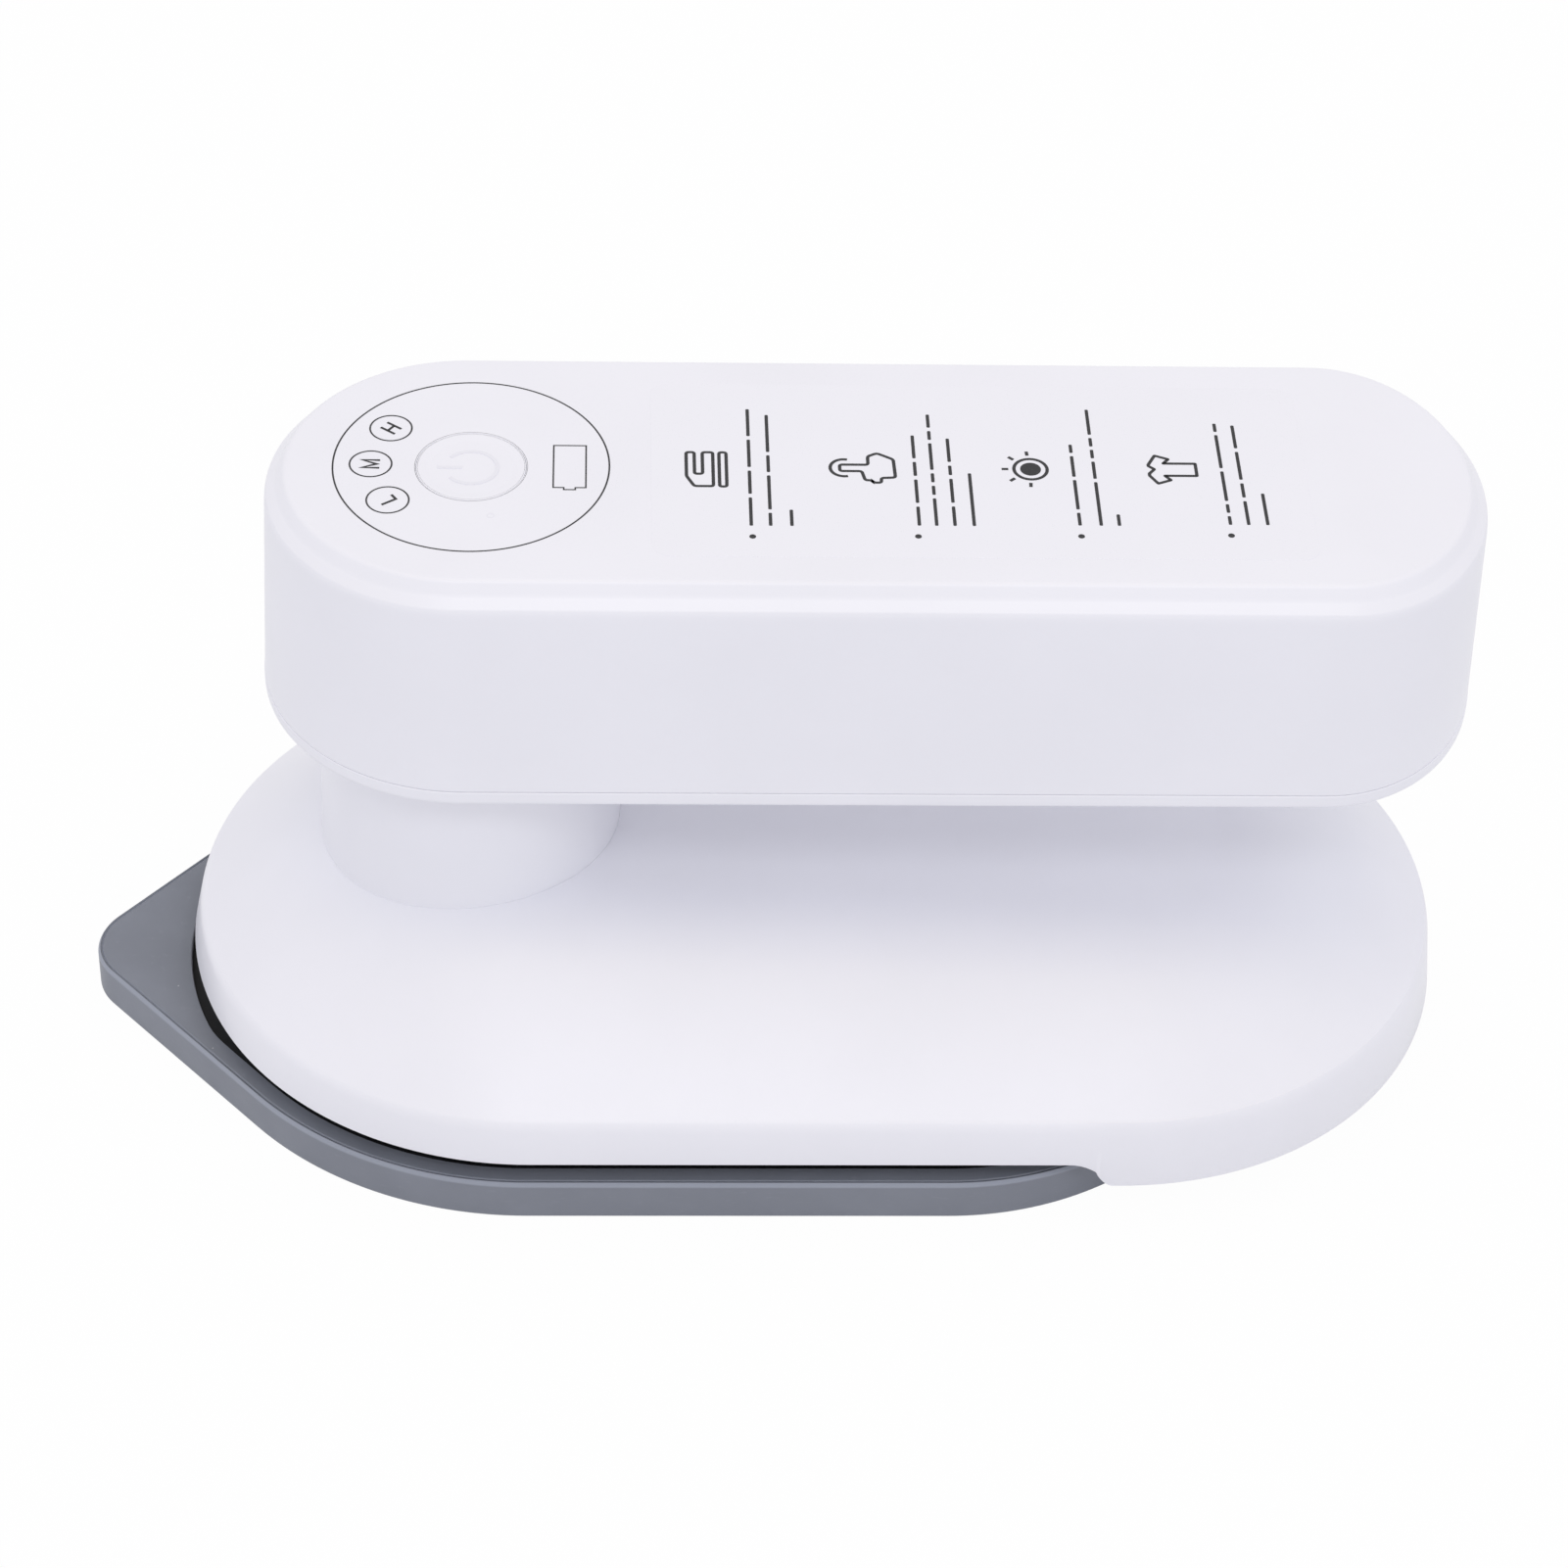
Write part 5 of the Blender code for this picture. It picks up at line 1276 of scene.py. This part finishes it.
class IRON_OT_printed_marks(IronOperator):
    """Print the circle, level letters, battery outline, pictograms and word-length bars"""

    bl_idname = "iron.printed_marks"
    bl_label = "Printed marks"

    def make(self):
        """Every mark is a flat closed line or disc of ink on the panel or on its film."""
        self.level_marks()
        self.pictograms()
        self.word_bars()

    def heights(self, ground):
        """Underside and top of the ink, which is sunk a little into its ground."""
        sunk = 0.00001
        low = ground - sunk
        return low, low + sunk + sizes("print").thickness

    def level_marks(self):
        """Circle round the button, ringed level letters and the battery outline."""
        marks = sizes("print")
        low, high = self.heights(panel_z())
        pile = Pile()
        off_centre = 0.0002
        circle = ring_path((button_x, off_centre), marks.circle_radius, 240)
        ribbon(pile, circle, marks.hairline, low, high, True)
        for centre, lines in LEVELS:
            up = unit(np.array(centre) - (button_x, 0.0))
            right = np.array([up[1], -up[0]])
            ribbon(pile, ring_path(centre, marks.letter_ring, 72), marks.hairline, low, high, True)
            for line in lines:
                place = np.array(line, dtype=float) * marks.letter_height * (0.82, 1.0)
                path = np.array(centre) + place[:, :1] * right + place[:, 1:] * up
                ribbon(pile, path, marks.letter_stroke, low, high)
        ribbon(pile, np.array(BATTERY) / 1000, marks.hairline * 0.9, low, high, True)
        pile.piece("level_marks", "handle", "printed_ink", slot="clear_film")
        lamp_centre, lamp_radius, lamp_line = (0.0029, -0.0083), 0.00036, 0.00012
        lamp = Pile()
        ribbon(lamp, ring_path(lamp_centre, lamp_radius, 40), lamp_line, low, high, True)
        lamp.piece("status_lamp_ring", "handle", "raised_sign", slot="white_plastic")

    def pictograms(self):
        """Four plain signs: an iron, a finger on a button, a lamp and a shirt."""
        stroke = sizes("print").stroke
        low, high = self.heights(film_z())
        pile = Pile()
        for outline, corner in ((SOLE_SIGN, 0.3), (IRON_SIGN, 0.3), (HAND_SIGN, 0.32), (SHIRT_SIGN, 0.08)):
            path = soft_path(outline, [corner] * len(outline), True, 5)
            ribbon(pile, path / 1000, stroke, low, high, True)
        press_x, press_y, radius = 0.03975, 0.0002, 0.00145
        press = arc_rows(press_x, radius, radius, math.radians(75), math.radians(285), 31)[0]
        ribbon(pile, press + (0.0, press_y), stroke, low, high)
        lamp, bulb, ring = np.array([0.0594, 0.0002]), 0.0011, 0.00175
        dot(pile, lamp, bulb, low, high, 40)
        ribbon(pile, ring_path(lamp, ring, 60), stroke, low, high, True)
        beam_start, beam_end = 0.00235, 0.00305
        for angle in np.radians([95, 137, 180, 222, 267]):
            way = np.array([math.cos(angle), math.sin(angle)])
            ribbon(pile, [lamp + way * beam_start, lamp + way * beam_end], stroke, low, high)
        pile.piece("pictograms", "handle", "printed_ink", slot="clear_film")

    def word_bars(self):
        """Rows of plain bars as long as words, each column with a round bullet before it."""
        half_height = sizes("print").bar_height / 2
        low, high = self.heights(film_z())
        bullet_radius, corner, indent, space = 0.00035, 0.00012, 1.8, 0.8
        pile = Pile()
        for bullet, rows in COLUMNS:
            dot(pile, np.array(bullet) / 1000, bullet_radius, low, high, 40)
            start = (bullet[1] + indent) / 1000
            for x, end, words in rows:
                spread = (end / 1000 - start) / (sum(words) + space * (len(words) - 1))
                place = start
                for letters in words:
                    reach = place + letters * spread
                    bar = box_path(half_height, (reach - place) / 2, corner, 4)
                    slab(pile, bar + (x / 1000, (place + reach) / 2), low, high)
                    place = reach + space * spread
        pile.piece("word_bars", "handle", "printed_ink", slot="clear_film")


class IRON_OT_charge_socket(IronOperator):
    """Make the charging socket and its tongue"""

    bl_idname = "iron.charge_socket"
    bl_label = "Charging socket"

    def make(self):
        """A round-cornered tube along X with a back wall, and a round-cornered tongue in it."""
        low, high = socket_box.low[0], socket_box.high[0]
        wall, mouth_round, lip, inner_round, depth = 0.0004, 0.0002, 0.00015, 0.0001, 0.0018
        shell = [
            (low, mouth_round),
            (low + mouth_round, 0.0),
            (high - lip, 0.0),
            (high, lip),
            (high, wall - inner_round),
            (high - inner_round, wall),
            (low + depth, wall),
        ]
        self.tube(shell, socket_box, socket_box.half[2] * 0.78).piece(
            "socket_shell", "handle", "plated_steel", ["charge_socket"]
        )
        low, high = tongue_box.low[0], tongue_box.high[0]
        tip, nib, nib_inset, tip_inset, corner = 0.00015, 0.00004, 0.00005, 0.00016, 0.0003
        tongue = [(low, 0.0), (high - tip, 0.0), (high - nib, nib_inset), (high, tip_inset)]
        self.tube(tongue, tongue_box, corner).piece(
            "socket_tongue", "handle", "black_nylon", ["charge_socket_tongue"]
        )

    def tube(self, rows, box, corner):
        """Sections across X, each a round-cornered box inset by an amount, with closed ends."""
        least = 0.00005
        grid = []
        for x, inset in rows:
            radius = max(corner - inset * 0.9, least)
            path = box_path(box.half[1] - inset, box.half[2] - inset, radius) + box.middle[1:]
            grid.append(np.insert(path, 0, x, 1))
        pile = Pile()
        pile.add(np.stack(grid), caps=True)
        return pile


class IRON_OT_screws(IronOperator):
    """Make the four screws whose heads show from below"""

    bl_idname = "iron.screws"
    bl_label = "Screws"

    def make(self):
        """Each screw is one grid of height and turn: a domed head sunk by a cross-shaped
        recess, then a shank whose radius follows a helical thread."""
        for kind, body in (("handle_screw", "handle"), ("heel_screw", "base")):
            for side in SIDES:
                name = kind + "_" + side
                pile = Pile()
                pile.add(self.grid(Box(name)), caps=True)
                pile.piece("cross_" + name, body, "plated_steel", [name], 40.0)

    def grid(self, box):
        """Rows from the middle of the head out, over its side, and up the thread. The recess is
        deep where a point is near either axis, and the thread's radius is a squared triangle
        wave of height over pitch less turn."""
        low, high, head = box.low[2], box.high[2], box.half[0]
        head_round, head_top, neck, centre = 0.0004, low + 0.0014, 0.0010, 0.00004
        turns = np.linspace(0.0, 2 * math.pi, 144, endpoint=False)[None, :]
        radius = np.linspace(centre, head - head_round, 44)[:, None]
        x, y = radius * np.cos(turns), radius * np.sin(turns)
        arm_width, arm_reach, arm_fade, arm_depth, dome = 0.00011, 0.00125, 0.0003, 0.0009, 0.0002
        arm = eased(3.4 - np.minimum(np.abs(x), np.abs(y)) / arm_width)
        arm = arm * eased((arm_reach - radius) / arm_fade)
        face = low + (radius / head) ** 2 * dome + arm * arm_depth
        brow, edge, rounds = low + 0.0001, low + 0.0002, [0.0002, 0.0001]
        side = soft_path(
            [(head - head_round, brow), (head, edge), (head, head_top), (neck, head_top)], rounds, steps=4
        )
        along = np.linspace(0.0, 1.0, 90)[:, None]
        height = head_top + along * (high - head_top)
        pitch, core, thread_depth = 0.0008, 0.00078, 0.00022
        thread = np.abs(((height / pitch - turns / (2 * math.pi)) % 1.0) - 0.5) * 2
        taper = eased((1 - along) / 0.14)
        shank = (core + thread_depth * (1 - thread) ** 2) * (0.25 + 0.75 * taper)
        height = np.broadcast_to(height, shank.shape)
        rows = [
            np.stack([x, y, face], -1),
            turned_grid(side, turns.shape[1]),
            np.stack([shank * np.cos(turns), shank * np.sin(turns), height], -1),
        ]
        return np.concatenate(rows) + (*box.middle[:2], 0.0)


class IRON_OT_inner_finishes(IronOperator):
    """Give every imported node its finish"""

    bl_idname = "iron.inner_finishes"
    bl_label = "Inner finishes"

    def make(self):
        """The record names a slot for each node; the finish of that name goes on it."""
        for part in frame["record"]["subparts"]:
            for place in frame["nodes"][part["node"]].material_slots:
                place.material = material(part["material_slot"])


class IRON_OT_stage(IronOperator):
    """Set up the floor, the light and the camera"""

    bl_idname = "iron.stage"
    bl_label = "Stage"

    def make(self):
        """White floor and sky, two soft lamps, and the photograph's camera."""
        stage = sizes("stage")
        self.floor(stage)
        self.sky(stage)
        self.lamp("top_lamp", stage.top_lamp, (1.0, 0.78, 0.35), size=(0.8, 0.5), heading=-95, rise=84)
        self.lamp("front_lamp", stage.front_lamp, (0.94, 0.95, 0.97), size=(0.55, 0.16), heading=-87, rise=52)
        self.camera(stage)

    def floor(self, stage):
        """A wide white disc, shown nearly white to the camera, with the object's shadow."""
        radius, thickness = 6.0, 0.004
        pile = Pile()
        dot(pile, (0.0, 0.0), radius, -thickness, 0.0, 96)
        floor = pile.placed("floor")
        recipe = Recipe("studio_floor")
        paint = recipe.mixed(recipe.noise(3.0), (0.80, 0.80, 0.81), (0.82, 0.82, 0.83))
        recipe.finish(base_color=paint, roughness=0.9, specular_ior_level=0.0)
        matt = Channel(recipe, recipe.shader.outputs[0])
        glow = recipe.node("ShaderNodeEmission", None, {"Color": WHITE, "Strength": 1.0})
        recipe.show("Material Output", recipe.seen() * stage.whiteness, matt, glow)
        floor.data.materials.append(recipe.material)

    def sky(self, stage):
        """White to the camera and in reflections, and plain even light for everything else."""
        world = bpy.data.worlds.new("studio")
        bpy.context.scene.world = world
        world.use_nodes = True
        tree = Tree(world.node_tree)
        tree.tree.nodes.remove(tree.tree.nodes["Background"])
        even = {"Color": (0.935, 0.938, 1.0, 1.0), "Strength": stage.sky}
        light = tree.node("ShaderNodeBackground", None, even)
        white = tree.node("ShaderNodeBackground", None, {"Color": WHITE, "Strength": 1.0})
        tree.show("World Output", tree.seen(), light, white)

    def lamp(self, name, power, shade, size, heading, rise):
        """A soft box a metre away, at a heading from +X and a height angle in degrees, turned to
        the iron."""
        data = bpy.data.lights.new(name, "AREA")
        data.shape = "RECTANGLE"
        data.size, data.size_y = size
        data.energy = power
        data.color = shade
        lamp = bpy.data.objects.new(name, data)
        heading, rise = math.radians(heading), math.radians(rise)
        reach = math.cos(rise)
        way = Vector((math.cos(heading) * reach, math.sin(heading) * reach, math.sin(rise)))
        facing = way.to_track_quat("Z", "Y").to_matrix().to_4x4()
        aim = Vector((0.03, 0.0, 0.04))
        lamp.matrix_world = Matrix.Translation(aim + way) @ facing
        bpy.context.scene.collection.objects.link(lamp)

    def camera(self, stage):
        """The fitted camera: heading, pitch and roll give its three axes."""
        flat = np.array([math.sin(stage.yaw), math.cos(stage.yaw), 0.0])
        side = np.array([math.cos(stage.yaw), -math.sin(stage.yaw), 0.0])
        rise = np.array([0.0, 0.0, 1.0])
        ahead = flat * math.cos(stage.pitch) - rise * math.sin(stage.pitch)
        up = flat * math.sin(stage.pitch) + rise * math.cos(stage.pitch)
        right = side * math.cos(stage.roll) + up * math.sin(stage.roll)
        above = up * math.cos(stage.roll) - side * math.sin(stage.roll)
        data = bpy.data.cameras.new("camera")
        data.lens = stage.lens
        data.sensor_width = 36.0
        data.clip_start = 0.01
        camera = bpy.data.objects.new("camera", data)
        axes = np.column_stack([right, above, -ahead, np.array(stage.camera)])
        camera.matrix_world = Matrix(np.vstack([axes, (0.0, 0.0, 0.0, 1.0)]).tolist())
        bpy.context.scene.collection.objects.link(camera)
        bpy.context.scene.camera = camera
        bpy.context.scene.view_settings.view_transform = "Standard"


GROUPS = {
    "handle": IronHandleSizes,
    "base": IronBaseSizes,
    "pad": IronPadSizes,
    "print": IronPrintSizes,
    "colours": IronColours,
    "stage": IronStageSizes,
}

OPERATORS = (
    IRON_OT_stage,
    IRON_OT_inner_finishes,
    IRON_OT_heat_pad,
    IRON_OT_soleplate,
    IRON_OT_base_shell,
    IRON_OT_column,
    IRON_OT_handle_shell,
    IRON_OT_handle_cover,
    IRON_OT_panel_film,
    IRON_OT_power_button,
    IRON_OT_printed_marks,
    IRON_OT_charge_socket,
    IRON_OT_screws,
)


class IRON_PT_sidebar(bpy.types.Panel):
    """Sizes, colours and pieces of the iron."""

    bl_label = "Cordless iron"
    bl_space_type = "VIEW_3D"
    bl_region_type = "UI"
    bl_category = "Iron"

    def draw(self, context):
        """List the sizes of each group, then a button for each operator."""
        for key, group in GROUPS.items():
            box = self.layout.box()
            box.label(text=key.title())
            for name in group.__annotations__:
                box.prop(getattr(context.scene, "iron_" + key), name)
        for operator in OPERATORS:
            self.layout.operator(operator.bl_idname)


def register():
    """Register the classes and hang the property groups on the scene."""
    for kind in (*GROUPS.values(), *OPERATORS, IRON_PT_sidebar):
        bpy.utils.register_class(kind)
    for key, group in GROUPS.items():
        setattr(bpy.types.Scene, "iron_" + key, bpy.props.PointerProperty(type=group))


def unregister():
    """Take the property groups and the classes away again."""
    for key in GROUPS:
        delattr(bpy.types.Scene, "iron_" + key)
    for kind in reversed((*GROUPS.values(), *OPERATORS, IRON_PT_sidebar)):
        bpy.utils.unregister_class(kind)


def main():
    """Make every piece."""
    register()
    for operator in OPERATORS:
        getattr(bpy.ops.iron, operator.bl_idname.split(".")[1])()


if __name__ == "__main__":
    main()
